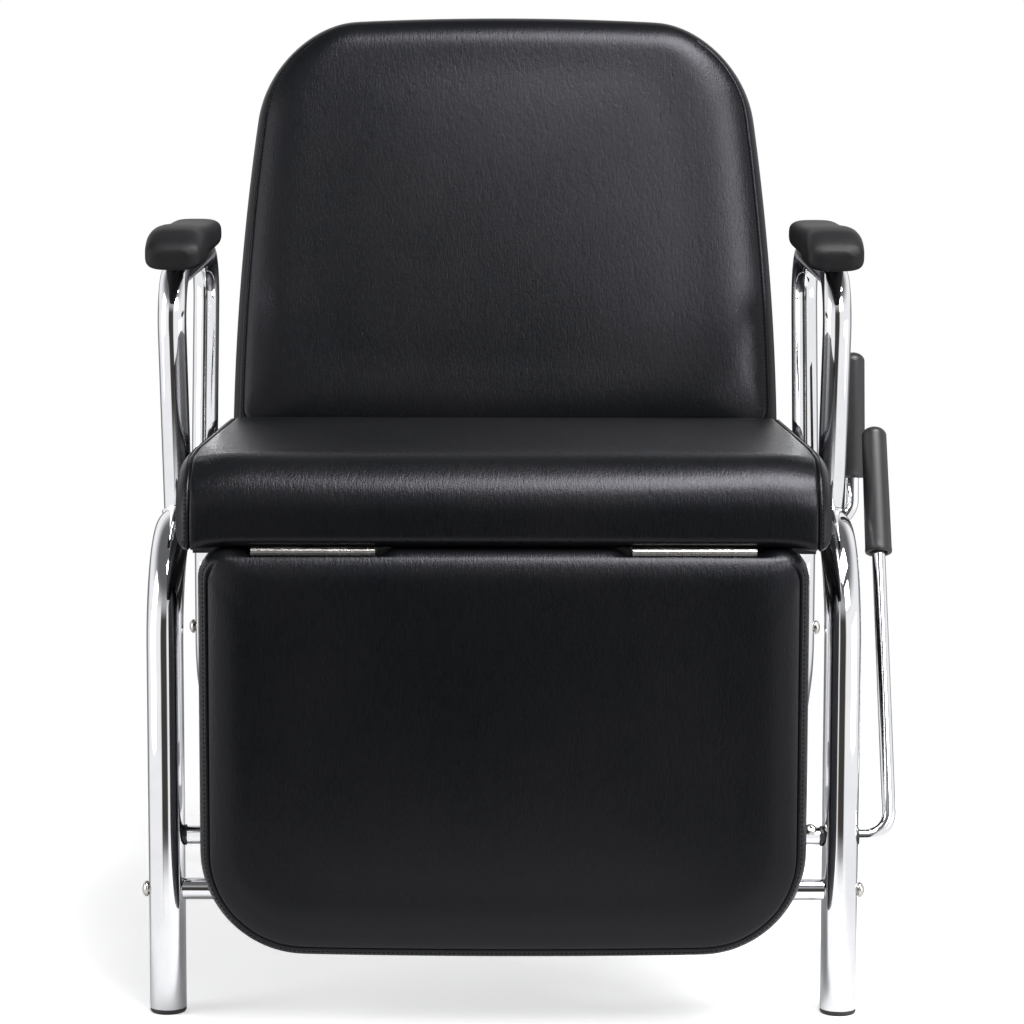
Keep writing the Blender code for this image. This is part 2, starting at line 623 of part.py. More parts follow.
def build_hinges(chair, axis):
    """Two butt hinges: the upper leaf on the seat board, the lower one on the legrest board, and a pin."""
    pitch = HINGE_LENGTH / KNUCKLES
    for hand, side in SIDES:
        start = side * HINGE_X - HINGE_LENGTH / 2
        for leaf, owner, lift, odd in (("seat", chair, 1, 0), ("legrest", axis, -1, 1)):
            high = lift * KNUCKLE_RADIUS
            low = high - lift * LEAF
            shift = Vector((0, HINGE_Y, HINGE_Z)) if owner is chair else Vector()
            z_low, z_high = sorted((low, high))
            flat = block((start, KNUCKLE_RADIUS + 0.001, z_low), (start + HINGE_LENGTH, LEGREST_DEPTH, z_high))
            plate = piece(f"hinge_leaf_{leaf}_{hand}", flat, owner, NICKEL, shift)
            for index in range(odd, KNUCKLES, 2):
                low_x = start + index * pitch + KNUCKLE_GAP / 2
                roll = prism(knuckle_outline(lift), low_x, low_x + pitch - KNUCKLE_GAP)
                combine(plate, tool(f"knuckle_{leaf}_{hand}_{index}", roll, owner, shift), "UNION")
        place = (0, HINGE_Y, HINGE_Z)
        pin = across(start, start + HINGE_LENGTH, 0, 0, HINGE_PIN_RADIUS, sides=10)
        piece(f"hinge_pin_{hand}", pin, chair, NICKEL, place)


def knuckle_outline(lift):
    """A leaf's edge rolled round the pin, with the short flat that runs into the leaf."""
    bore = HINGE_PIN_RADIUS + RUN
    overlap = KNUCKLE_RADIUS + 0.003
    step = LEAF * 0.1
    outer = arc((0, 0), KNUCKLE_RADIUS, pi / 2, pi / 2 + radians(300), 10)
    inner = arc((0, 0), bore, pi / 2 + radians(300), pi / 2, 10)
    top = [(overlap, KNUCKLE_RADIUS - LEAF + step), (overlap, KNUCKLE_RADIUS - step)]
    points = outer + inner[:-1] + [(bore * 0.5, KNUCKLE_RADIUS - LEAF + step)] + top
    return [(y, lift * z) for y, z in points]


def build_legrest(chair):
    """The legrest, hung on its hinges: board, cushion, hinge leaves and link brackets."""
    axis = pivot("legrest_pivot", (0, HINGE_Y, HINGE_Z), chair)
    build_hinges(chair, axis)
    high = -KNUCKLE_RADIUS - FIT
    size = (LEGREST_HALF_WIDTH, LEGREST_LOW_Z - HINGE_Z, high)
    corners = (LEGREST_LOW_CORNER, LEGREST_TOP_CORNER)
    front = LEGREST_DEPTH - PANEL_BOARD
    board = panel_outline((LEGREST_HALF_WIDTH, size[1], high + BOARD_INSET), corners, BOARD_INSET, 0, LEGREST_ARCH)
    board = [(x, min(z, high)) for x, z in board]
    piece("legrest_board", panel_prism(board, front, LEGREST_DEPTH), axis, PLYWOOD)
    depth = LEGREST_DEPTH + LEGREST_FRONT
    loops = []
    for inset, height in padded_rings(depth, LEGREST_CROWN, LEGREST_HALF_WIDTH * 0.6):
        outline = panel_outline(size, corners, inset, 0, LEGREST_ARCH)
        loops.append([(x, LEGREST_DEPTH - height, min(z, high)) for x, z in outline])
    body = piece("legrest_cushion", cushion(loops), axis, VINYL)
    opening = panel_outline((LEGREST_HALF_WIDTH, size[1], high + BOARD_INSET + 0.02), corners, BOARD_INSET - FIT, 0,
                            LEGREST_ARCH)
    pocket = tool("legrest_pocket", panel_prism(opening, front - FIT, LEGREST_DEPTH + 0.02), axis)
    combine(body, pocket, "DIFFERENCE")
    face = LEGREST_DEPTH + FIT
    pin_y, pin_z = BRACKET_PIN
    horn = [(face, pin_z - BRACKET_LENGTH), (face + FLANGE, pin_z - BRACKET_LENGTH)]
    horn += arc(BRACKET_PIN, CRANK_TIP_RADIUS, radians(-50), radians(100), 6)
    horn.append((face, pin_z + CRANK_TIP_RADIUS * 0.7))
    for hand, side in SIDES:
        inner = CRANK_X - CRANK / 2
        web = prism(horn, *sorted((side * inner, side * (inner + CRANK))))
        bracket = piece(f"legrest_bracket_{hand}", web, axis, ZINC)
        outer = inner + CRANK
        low = min(side * outer, side * (outer - FLANGE_WIDTH))
        flange = block((low, face, pin_z - BRACKET_LENGTH), (low + FLANGE_WIDTH, face + FLANGE, pin_z - PIN_RADIUS))
        combine(bracket, tool(f"bracket_flange_{hand}", flange, axis), "UNION")
        stud = side_stud(side, pin_y, pin_z)
        combine(bracket, tool(f"bracket_stud_{hand}", stud, axis), "UNION")


def side_stud(side, y, z):
    """The stud on a crank or bracket that carries a link."""
    root = CRANK_X
    tip = CRANK_X + CRANK / 2 + LINK + STUD_PROUD
    return across(*sorted((side * root, side * tip)), y, z, PIN_RADIUS, sides=10)


def build_legrest_lever(chair):
    """The legrest lever's rod, sleeve, screw, grip, bushes and cranks."""
    axis = pivot("legrest_lever_pivot", (0, 0, LEVER_Z), chair)
    far_end = -LEG_X - 0.004
    corners = [(far_end, 0, 0), (LEVER_X, 0, 0), (LEVER_X, 0, LEVER_LENGTH - GRIP_END)]
    rod = tube(route(corners, (ROD_BEND,)), ROD_RADIUS, sides=10)
    piece("legrest_lever", rod, axis, CHROME, turn=(-LEVER_LEAN, 0, 0))
    lean = Vector((0, sin(LEVER_LEAN), cos(LEVER_LEAN)))
    foot = lean * (LEVER_LENGTH - GRIP_LENGTH) + Vector((LEVER_X, 0, 0))
    piece("legrest_lever_grip", grip(), axis, RUBBER, foot, (-LEVER_LEAN, 0, 0))
    stop = LEG_X - LEG_RADIUS - 2 * FIT - BUSH_FLANGE - FIT
    wall = SLEEVE_RADIUS - ROD_RADIUS - FIT
    sleeve = piece("legrest_lever_sleeve", across(-stop, stop, 0, 0, SLEEVE_RADIUS, wall), axis, CHROME)
    turn = (pi / 2 - SCREW_TURN, 0, 0)
    reach = SLEEVE_RADIUS - ROD_RADIUS
    hole = tool("screw_hole", turned([(0, 0), (SCREW_RADIUS + FIT, 0), (SCREW_RADIUS + FIT, 0.02), (0, 0.02)], 10),
                axis, (SCREW_X, 0, 0), turn)
    combine(sleeve, hole, "DIFFERENCE")
    screw = [(0, ROD_RADIUS + FIT), (SCREW_RADIUS, ROD_RADIUS + FIT), (SCREW_RADIUS, ROD_RADIUS + reach + FIT),
             (SCREW_HEAD_RADIUS, ROD_RADIUS + reach + FIT)]
    top = ROD_RADIUS + reach + FIT + SCREW_HEAD
    screw += [(SCREW_HEAD_RADIUS, top - SCREW_HEAD * 0.55), (SCREW_HEAD_RADIUS * 0.62, top), (0, top)]
    piece("legrest_sleeve_screw", turned(screw, 10), axis, NICKEL, (SCREW_X, 0, 0), turn)
    for hand, side in SIDES:
        inner = LEG_X - LEG_RADIUS - FIT
        length = 2 * LEG_RADIUS + 2 * FIT if side > 0 else LEG_RADIUS + 0.008
        bore = ROD_RADIUS + RUN
        bush = [(bore, -BUSH_FLANGE), (BUSH_FLANGE_RADIUS, -BUSH_FLANGE), (BUSH_FLANGE_RADIUS, 0),
                (BUSH_RADIUS, 0), (BUSH_RADIUS, length), (bore, length)]
        piece(f"lever_bush_{hand}", turned(bush), chair, NYLON, (side * inner, 0, LEVER_Z), (0, side * pi / 2, 0))
        low, high = sorted((side * (CRANK_X - CRANK / 2), side * (CRANK_X + CRANK / 2)))
        tip = (CRANK_LENGTH, 0)
        bar = strap((0, 0), CRANK_HUB_RADIUS, tip, CRANK_TIP_RADIUS)
        crank = piece(f"legrest_crank_{hand}", prism(bar, low, high), axis, ZINC)
        eye = across(low - 0.002, high + 0.002, 0, 0, SLEEVE_RADIUS + FIT)
        combine(crank, tool(f"crank_eye_{hand}", eye, axis), "DIFFERENCE")
        combine(crank, tool(f"crank_stud_{hand}", side_stud(side, *tip), axis), "UNION")
    build_links(axis)


def build_links(lever):
    """Two links from the cranks to the legrest, each with a slotted upper end."""
    axis = pivot("legrest_link_pivot", (0, CRANK_LENGTH, 0), lever)
    reach = (HINGE_Y + BRACKET_PIN[0] - CRANK_LENGTH, HINGE_Z + BRACKET_PIN[1] - LEVER_Z)
    length = hypot(*reach)
    unit = (reach[0] / length, reach[1] / length)
    ends = [((length + shift) * unit[0], (length + shift) * unit[1]) for shift in LINK_PLAY]
    slot_half = PIN_RADIUS + LINK_SIDE_PLAY + FIT
    for hand, side in SIDES:
        inner = CRANK_X + CRANK / 2 + FIT
        low, high = sorted((side * inner, side * (inner + LINK)))
        link = prism(strap((0, 0), LINK_EYE_RADIUS, ends[1], LINK_TIP_RADIUS), low, high)
        link = piece(f"legrest_link_{hand}", link, axis, ZINC)
        eye = across(low - LINK, high + LINK, 0, 0, PIN_RADIUS + RUN, sides=10)
        combine(link, tool(f"link_eye_{hand}", eye, axis), "DIFFERENCE")
        slot = prism(strap(ends[0], slot_half, ends[1], slot_half), low - LINK, high + LINK)
        combine(link, tool(f"link_slot_{hand}", slot, axis), "DIFFERENCE")


def grip():
    """A moulded grip: a tapered sleeve over the rod's end with a domed top, standing on its open end."""
    bore = ROD_RADIUS + FIT
    depth = GRIP_LENGTH - GRIP_END + FIT
    dome = [(GRIP_TOP_RADIUS * cos(a), GRIP_LENGTH - 0.008 + 0.008 * sin(a)) for a in (0, pi / 6, pi / 3)]
    profile = [(0, depth), (bore, depth), (bore, 0), (GRIP_LOW_RADIUS - 0.001, 0), (GRIP_LOW_RADIUS, 0.001)]
    return turned(profile + dome + [(0, GRIP_LENGTH)], 14)


def build_recline_lever(chair):
    """The recline lever's shaft and grip, its release finger, and the lugs that carry the shaft."""
    axis = pivot("recline_lever_pivot", (0, SHAFT_Y, SHAFT_Z), chair)
    corners = [(SHAFT_END_X, 0, 0), (LEVER_X, 0, 0), (LEVER_X, 0, RECLINE_LENGTH - GRIP_END)]
    rod = tube(route(corners, (ROD_BEND,)), ROD_RADIUS, sides=10)
    piece("recline_lever", rod, axis, CHROME, turn=(-RECLINE_LEAN, 0, 0))
    lean = Vector((0, sin(RECLINE_LEAN), cos(RECLINE_LEAN)))
    foot = lean * (RECLINE_LENGTH - GRIP_LENGTH) + Vector((LEVER_X, 0, 0))
    piece("recline_lever_grip", grip(), axis, RUBBER, foot, (-RECLINE_LEAN, 0, 0))
    half = FINGER_THICK / 2
    reach = FINGER_REACH + PLUNGER_RADIUS + 0.002
    collar = arc((0, 0), 0.011, radians(22), radians(338), 10)
    finger = prism(collar + [(reach, -half), (reach, half)], -FINGER_WIDTH / 2, FINGER_WIDTH / 2)
    finger = piece("release_finger", finger, axis, ZINC)
    eye = across(-FINGER_WIDTH, FINGER_WIDTH, 0, 0, ROD_RADIUS + FIT, sides=10)
    combine(finger, tool("finger_eye", eye, axis), "DIFFERENCE")
    for hand, side in SIDES:
        outer = RAIL_X - RAIL_WIDTH / 2 - FIT
        low, high = sorted((side * outer, side * (outer - PLATE)))
        plate = block((low, SHAFT_Y - LUG_WIDTH / 2, SHAFT_Z - LUG_DROP), (high, SHAFT_Y + LUG_WIDTH / 2, RAIL_TOP))
        lug = piece(f"shaft_lug_{hand}", plate, chair, ZINC)
        hole = across(low - PLATE, high + PLATE, SHAFT_Y, SHAFT_Z, ROD_RADIUS + RUN)
        combine(lug, tool(f"lug_hole_{hand}", hole, chair), "DIFFERENCE")


def build_back_lock(chair):
    """The rod lock under the seat: plate, head, plunger and the rod whose fork holds the back's arm."""
    rail_y = dict(CROSS_RAIL_Y)["rear"]
    plate_low = LOCK_TOP + FIT
    plate = block((-0.030, rail_y - CROSS_RAIL_WIDTH / 2, plate_low),
                  (0.030, rail_y + CROSS_RAIL_WIDTH / 2, plate_low + LOCK_PLATE))
    piece("lock_plate", plate, chair, ZINC)
    low = (-LOCK_HALF_WIDTH, LOCK_FRONT_Y, LOCK_Z - LOCK_BELOW)
    head = piece("lock_head", block(low, (LOCK_HALF_WIDTH, LOCK_REAR_Y, LOCK_TOP)), chair, BLACK_STEEL)
    bore = tube([(0, LOCK_FRONT_Y - 0.01, LOCK_Z), (0, LOCK_REAR_Y + 0.01, LOCK_Z)], LOCK_ROD_RADIUS + RUN)
    combine(head, tool("lock_bore", bore, chair), "DIFFERENCE")
    plunger_y = SHAFT_Y + FINGER_REACH
    well = [(0, 0), (PLUNGER_RADIUS + RUN, 0), (PLUNGER_RADIUS + RUN, 0.04), (0, 0.04)]
    floor = (0, plunger_y, LOCK_Z + LOCK_ROD_RADIUS + 0.0015)
    combine(head, tool("plunger_well", turned(well, 10), chair, floor), "DIFFERENCE")
    top = SHAFT_Z - FINGER_THICK / 2 - FIT
    stem = [(0, -PLUNGER_LENGTH), (PLUNGER_RADIUS, -PLUNGER_LENGTH), (PLUNGER_RADIUS, -0.001),
            (PLUNGER_RADIUS - 0.001, 0), (0, 0)]
    axis = pivot("plunger_axis", (0, plunger_y, top), chair)
    piece("lock_plunger", turned(stem, 10), axis, NICKEL)
    slider = pivot("lock_rod_axis", (0, LOCK_PIN_Y, LOCK_Z), chair)
    throat = ARM_PLATE / 2 + RUN
    cheek = throat + FORK_CHEEK
    base = -FORK_REACH - 0.012
    fork = block((-cheek, base, -FORK_HALF_HEIGHT), (cheek, FORK_HALF_HEIGHT, FORK_HALF_HEIGHT))
    rod = piece("lock_rod", fork, slider, CHROME)
    gap = block((-throat, -FORK_REACH, -0.02), (throat, 0.02, 0.02))
    combine(rod, tool("fork_throat", gap, slider), "DIFFERENCE")
    shank = tube([(0, -LOCK_ROD_LENGTH, 0), (0, base + 0.006, 0)], LOCK_ROD_RADIUS)
    combine(rod, tool("rod_shank", shank, slider), "UNION")
    pin = across(-cheek + 0.001, cheek - 0.001, 0, 0, PIN_RADIUS, sides=10)
    combine(rod, tool("fork_pin", pin, slider), "UNION")


def centre_on_floor(chair):
    """Move the chair so that the origin is on the floor under the middle of its outline."""
    graph = bpy.context.evaluated_depsgraph_get()
    points = []
    for thing in bpy.data.objects:
        if thing.type == "MESH" and not thing.hide_render:
            shaped = thing.evaluated_get(graph)
            points += [shaped.matrix_world @ vertex.co for vertex in shaped.data.vertices]
    middle = [(min(p[i] for p in points) + max(p[i] for p in points)) / 2 for i in (0, 1)]
    chair.location = (-middle[0], -middle[1], 0)
    print("chair mid-plane and front legs at", [round(value, 6) for value in chair.location])


clear_scene()
chair = pivot("chair")
copes = build_side_frames(chair)
build_cross_bars(chair, copes)
build_arms(chair, copes)
build_seat(chair)
build_back(chair)
build_legrest(chair)
build_legrest_lever(chair)
build_recline_lever(chair)
build_back_lock(chair)
centre_on_floor(chair)
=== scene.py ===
from math import cos, hypot, pi, radians, sin, sqrt, tan

import bmesh
import bpy
import numpy as np
from mathutils import Matrix, Vector
from mathutils.bvhtree import BVHTree


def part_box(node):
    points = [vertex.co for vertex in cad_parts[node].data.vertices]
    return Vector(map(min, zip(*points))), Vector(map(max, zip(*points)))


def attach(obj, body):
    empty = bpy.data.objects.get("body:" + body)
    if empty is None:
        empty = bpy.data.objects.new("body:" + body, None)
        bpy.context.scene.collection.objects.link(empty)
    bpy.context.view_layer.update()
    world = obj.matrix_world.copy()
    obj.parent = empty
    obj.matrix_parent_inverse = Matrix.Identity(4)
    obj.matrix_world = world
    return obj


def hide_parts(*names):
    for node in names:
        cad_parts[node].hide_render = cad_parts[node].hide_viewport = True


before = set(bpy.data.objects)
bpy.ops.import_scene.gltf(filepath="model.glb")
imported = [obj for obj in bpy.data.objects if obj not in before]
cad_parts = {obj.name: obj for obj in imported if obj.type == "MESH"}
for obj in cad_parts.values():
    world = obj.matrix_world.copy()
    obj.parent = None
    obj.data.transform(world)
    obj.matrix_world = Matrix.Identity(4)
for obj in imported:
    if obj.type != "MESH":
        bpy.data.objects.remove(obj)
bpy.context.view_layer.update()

# ---------------------------------------------------------------------------------------------------
# The room: a white studio with a sheet of matt white floor that ends a short way round the chair. Soft
# lights hang overhead and at both sides. White screens stand at the sides; the dark gap between them in
# front and the grey wall low behind draw the dark lines along the chromed tubes.


class Value:
    """A socket of a finish. Arithmetic on it adds the nodes that work it out."""

    def __init__(self, finish, socket):
        self.finish = finish
        self.socket = socket

    def out(self, name):
        """Another output of the same node."""
        return Value(self.finish, self.socket.node.outputs[name])

    def math(self, operation, *terms):
        return self.finish.node("Math", {"operation": operation}, dict(enumerate(terms)))

    def __add__(self, other): return self.math("ADD", self, other)
    def __radd__(self, other): return self.math("ADD", other, self)
    def __sub__(self, other): return self.math("SUBTRACT", self, other)
    def __rsub__(self, other): return self.math("SUBTRACT", other, self)
    def __mul__(self, other): return self.math("MULTIPLY", self, other)
    def __rmul__(self, other): return self.math("MULTIPLY", other, self)
    def __truediv__(self, other): return self.math("DIVIDE", self, other)
    def __abs__(self): return self.math("ABSOLUTE", self)
    def wave(self): return self.math("SINE", self)

    def eased(self, low, high):
        """0 below low, 1 above high, and a soft step between."""
        ranges = {"Value": self, "From Min": low, "From Max": high}
        return self.finish.node("MapRange", {"interpolation_type": "SMOOTHSTEP"}, ranges)


class Finish:
    """A procedural surface: one shader and the nodes that feed it."""

    def __init__(self, owner, shader="Principled BSDF", **fixed):
        self.owner = owner
        owner.use_nodes = True
        self.tree = owner.node_tree
        self.shader = self.tree.nodes[shader]
        for name, value in fixed.items():
            self.feed(name.replace("_", " "), value)

    def node(self, kind, settings={}, sockets={}):
        """Any node: its settings first, then the values or links of its sockets."""
        made = self.tree.nodes.new("ShaderNode" + kind)
        for key, setting in settings.items():
            setattr(made, key, setting)
        for key, value in sockets.items():
            self.join(made.inputs[key], value)
        return Value(self, next(out for out in made.outputs if out.enabled))

    def join(self, socket, value):
        """Link a value to a socket, or set the socket's own value."""
        if isinstance(value, Value):
            self.tree.links.new(value.socket, socket)
        elif socket.type == "RGBA" and len(value) == 3:
            socket.default_value = (*value, 1)
        else:
            socket.default_value = value

    def feed(self, name, value):
        self.join(self.shader.inputs[name], value)

    def place(self, *stretch):
        """Position on the piece, in metres, stretched along its axes where asked."""
        spot = self.node("TexCoord").out("Object")
        if stretch:
            spot = self.node("VectorMath", {"operation": "MULTIPLY"}, {0: spot, 1: stretch})
        return spot

    def noise(self, scale, detail=3.0, rough=0.55, spot=None, bend=0.0):
        sockets = {"Vector": spot or self.place(), "Scale": scale, "Detail": detail, "Roughness": rough,
                   "Distortion": bend}
        return self.node("TexNoise", {"noise_dimensions": "3D"}, sockets)

    def blend(self, mask, low, high):
        """A colour between two, by a mask."""
        return self.node("Mix", {"data_type": "RGBA"}, {0: mask, 6: low, 7: high})

    def bump(self, height, depth, strength=1.0):
        """Relief: height from 0 to 1 stands for this depth in metres."""
        relief = {"Height": height, "Distance": depth, "Strength": strength}
        self.feed("Normal", self.node("Bump", {}, relief))


# Home is on the floor, midway between the front feet. All places below are measured from it, in metres.
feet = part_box("foot_cap_front_right"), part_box("foot_cap_front_left")
home = Vector(((feet[0][0].x + feet[1][1].x) / 2, (feet[0][0].y + feet[0][1].y) / 2, 0))

FOCAL_LENGTH = 115.7
EYE = Vector((0.0062, -2.828, 0.7706))
LOOK_DOWN, CAMERA_ROLL = radians(6.613), radians(-0.12)
lens = bpy.data.cameras.new("photo_camera")
lens.lens = FOCAL_LENGTH
camera = bpy.data.objects.new("photo_camera", lens)
camera.location = home + EYE
camera.rotation_euler = (pi / 2 - LOOK_DOWN, CAMERA_ROLL, 0)
bpy.context.scene.collection.objects.link(camera)
bpy.context.scene.camera = camera
bpy.context.scene.view_settings.view_transform = "Standard"

FLOOR_CORNERS = ((-3, -2, 0), (3, -2, 0), (3, 4, 0), (-3, 4, 0))
FADE_AHEAD, FADE_ASIDE, FADE_BEHIND = (0.45, 0.85), (0.36, 0.70), (0.66, 1.2)
floor_mesh = bpy.data.meshes.new("floor")
floor_mesh.from_pydata([home + Vector(corner) for corner in FLOOR_CORNERS], [], [(0, 1, 2, 3)])
floor = bpy.data.objects.new("floor", floor_mesh)
bpy.context.scene.collection.objects.link(floor)
paint = Finish(bpy.data.materials.new("floor_paint"), Roughness=0.7, Specular_IOR_Level=0.2,
               Emission_Strength=1.0)
shade = paint.blend(paint.noise(1.5), (0.56, 0.56, 0.565), (0.60, 0.60, 0.60))
direct = paint.node("LightPath").out("Is Camera Ray")
paint.feed("Base Color", paint.blend(direct, shade, (0.98, 0.98, 0.98)))
paint.feed("Emission Color", paint.blend(direct, (0.0, 0.0, 0.0), (0.40, 0.40, 0.40)))
spot = paint.node("SeparateXYZ", {}, {0: paint.place()})
ahead = (home.y - spot.out("Y")).eased(*FADE_AHEAD)
aside = abs(spot.out("X") - home.x).eased(*FADE_ASIDE)
behind = (spot.out("Y") - home.y).eased(*FADE_BEHIND)
sheet = (1 - ahead) * (1 - aside) * (1 - behind)
clear, painted = paint.node("BsdfTransparent"), Value(paint, paint.shader.outputs[0])
paint.join(paint.tree.nodes["Material Output"].inputs["Surface"],
           paint.node("MixShader", {}, {0: sheet, 1: clear, 2: painted}))
floor_mesh.materials.append(paint.owner)

sky = bpy.data.worlds.new("studio")
bpy.context.scene.world = sky
air = Finish(sky, "Background")
toward = air.node("SeparateXYZ", {}, {0: air.node("TexCoord").out("Generated")})
east, north, height = toward.out("X"), toward.out("Y"), toward.out("Z")
south = 0 - north
slant = abs((east + 0.06 * south) / (abs(north) + 0.02))
gap = south.eased(0.0, 0.2) * (1 - slant.eased(0.26, 0.42)) * (1 - height.eased(0.30, 0.75))
wall = north.eased(0.38, 0.76) * (1 - height.eased(0.03, 0.15))
light = air.blend(wall, (0.98, 0.98, 0.99), (0.20, 0.20, 0.21))
light = air.blend(gap, light, (0.055, 0.050, 0.045))
light = air.blend(height.eased(0.35, 0.80), light, (0.14, 0.14, 0.145))
seen = air.node("LightPath").out("Is Camera Ray")
air.feed("Color", air.blend(seen, light, (1.0, 1.0, 1.0)))
air.feed("Strength", 1.0)


def softbox(name, place, target, width, length, watts):
    """A soft rectangular light, aimed at a point of the chair."""
    lamp = bpy.data.lights.new(name, "AREA")
    lamp.shape = "RECTANGLE"
    lamp.size, lamp.size_y, lamp.energy = width, length, watts
    light = bpy.data.objects.new(name, lamp)
    light.location = home + Vector(place)
    light.rotation_euler = (home + Vector(target) - light.location).to_track_quat("-Z", "Y").to_euler()
    bpy.context.scene.collection.objects.link(light)


softbox("key_light", (1.35, -1.55, 1.95), (0, 0.1, 0.45), width=1.1, length=1.0, watts=36)
softbox("top_light", (0.70, -0.62, 2.7), (0.1, 0.1, 0.4), width=1.7, length=1.0, watts=110)
softbox("fill_light", (-2.3, -0.7, 1.2), (0, 0.1, 0.45), width=1.2, length=1.8, watts=17)
softbox("low_light_right", (-2.1, -0.55, 0.30), (0, 0, 0.25), width=1.3, length=0.8, watts=5.5)
softbox("low_light_left", (2.1, -0.55, 0.30), (0, 0, 0.25), width=1.3, length=0.8, watts=5.5)

# ---------------------------------------------------------------------------------------------------
# Side frames: two round steel tubes, 32 mm through, each bent cold into a front leg, an arch, the run
# beside the seat and a rear leg that kicks back to its foot; polished and plated with bright chrome.


def arc(before, corner, after, radius, count=None, step=radians(3)):
    """Points of the arc that rounds off a corner, from end to end; count or else step says how many."""
    inward, outward = (before - corner).normalized(), (after - corner).normalized()
    half = inward.angle(outward) / 2
    centre = corner + (inward + outward).normalized() * radius / sin(half)
    start = corner + inward * radius / tan(half) - centre
    axis = start.cross(corner + outward * radius / tan(half) - centre).normalized()
    turn = pi - 2 * half
    count = count or max(4, round(turn / step))
    return [centre + Matrix.Rotation(turn * i / count, 3, axis) @ start for i in range(count + 1)]


def route(corners, radii):
    """Points along straight runs that are joined by arcs of the given radii."""
    corners = [Vector(corner) for corner in corners]
    points = [corners[0]]
    for bend in zip(corners, corners[1:], corners[2:], radii):
        points += arc(*bend)
    return points + [corners[-1]]


def swept(points, radius, sides):
    """Rings of a round tube along points; radius may be one value or one for each point."""
    points = [Vector(point) for point in points]
    radii = radius if isinstance(radius, list) else [radius] * len(points)
    rings = []
    across = None
    for i, (point, size) in enumerate(zip(points, radii)):
        heading = (points[min(i + 1, len(points) - 1)] - points[max(i - 1, 0)]).normalized()
        if across is None:
            across = heading.orthogonal().normalized()
        across = (across - heading * across.dot(heading)).normalized()
        up = heading.cross(across)
        rings.append([point + size * (cos(a) * across + sin(a) * up)
                      for a in [2 * pi * k / sides for k in range(sides)]])
    return rings


def bands(rows, count, first=0, loop=False):
    """Faces between neighbouring rings of equally many points, numbered from the first."""
    faces = []
    for row in range(rows if loop else rows - 1):
        here, after = first + row * count, first + (row + 1) % rows * count
        for i in range(count):
            j = (i + 1) % count
            faces.append((here + i, here + j, after + j, after + i))
    return faces


def skin(rings, loop=False):
    """Places and faces of a closed skin through rings of equally many points."""
    count = len(rings[0])
    places = [place for ring in rings for place in ring]
    faces = bands(len(rings), count, loop=loop)
    if not loop:
        faces += [tuple(range(count)), tuple(range(len(places) - count, len(places)))]
    return places, faces


def shown(name, form, finish, slot, body, *nodes, crease=40):
    """One piece in its place on the chair, with its finish, its body and the solids it stands for."""
    places, faces = form
    shape = bmesh.new()
    corners = [shape.verts.new(home + Vector(place)) for place in places]
    for face in faces:
        shape.faces.new([corners[i] for i in face])
    bmesh.ops.recalc_face_normals(shape, faces=shape.faces)
    mesh = bpy.data.meshes.new(name)
    shape.to_mesh(mesh)
    shape.free()
    mesh.shade_smooth()
    mesh.set_sharp_from_angle(angle=radians(crease))
    mesh.materials.append(finish.owner)
    piece = bpy.data.objects.new(name, mesh)
    bpy.context.scene.collection.objects.link(piece)
    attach(piece, body)
    if nodes:
        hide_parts(*nodes)
    return piece


chrome = Finish(bpy.data.materials.new("bright_chrome"), Metallic=1.0)
smear = chrome.noise(22.0, 4.0, 0.6)
dust = chrome.noise(160.0, 2.0, 0.5)
chrome.feed("Base Color", chrome.blend(smear.eased(0.35, 0.75), (0.86, 0.865, 0.88), (0.79, 0.80, 0.82)))
chrome.feed("Roughness", 0.03 + 0.05 * smear.eased(0.45, 0.8) + 0.03 * dust.eased(0.55, 0.8))
chrome.bump(chrome.noise(30.0, 1.0, 0.4), 0.0003, 0.4)

HANDS = (("right", -1), ("left", 1))
LEG_X, LEG_RADIUS = 0.2945, 0.016
FOOT_Z, KICK_FOOT_Z, KICK_TOP_Z, RUN_Z = 0.0045, 0.100, 0.238, 0.418
REAR_Y, REAR_FOOT_Y = 0.440, 0.590
FRAME_BENDS = (0.095, 0.080, 0.065, 0.065)
for hand, side in HANDS:
    x = side * LEG_X
    corners = [(x, 0, FOOT_Z), (x, 0, RUN_Z), (x, REAR_Y, RUN_Z), (x, REAR_Y, KICK_TOP_Z),
               (x, REAR_FOOT_Y, KICK_FOOT_Z), (x, REAR_FOOT_Y, FOOT_Z)]
    tube = skin(swept(route(corners, FRAME_BENDS), LEG_RADIUS, sides=48))
    shown(f"tube_side_frame_{hand}", tube, chrome, "chrome_tube", "frame", f"side_frame_{hand}")

# ---------------------------------------------------------------------------------------------------
# Foot caps: black rubber discs, moulded with a plug that presses into the tube's end. A thin rolled
# edge shows between the chrome and the floor.


def turned(profile, place, axis, sides=40):
    """A turned piece: (radius, height) pairs about an axis that starts at a place."""
    axis = Vector(axis).normalized()
    across = axis.orthogonal().normalized()
    up = axis.cross(across)
    spokes = [cos(2 * pi * k / sides) * across + sin(2 * pi * k / sides) * up for k in range(sides)]
    return skin([[Vector(place) + axis * high + spoke * radius for spoke in spokes]
                 for radius, high in profile])


rubber = Finish(bpy.data.materials.new("black_rubber"), Specular_IOR_Level=0.45)
scuff = rubber.noise(90.0, 4.0, 0.6)
rubber.feed("Base Color", rubber.blend(scuff.eased(0.5, 0.8), (0.018, 0.018, 0.019), (0.045, 0.044, 0.043)))
rubber.feed("Roughness", 0.42 + 0.2 * scuff)
rubber.bump(rubber.noise(700.0, 2.0), 0.0002, 0.5)

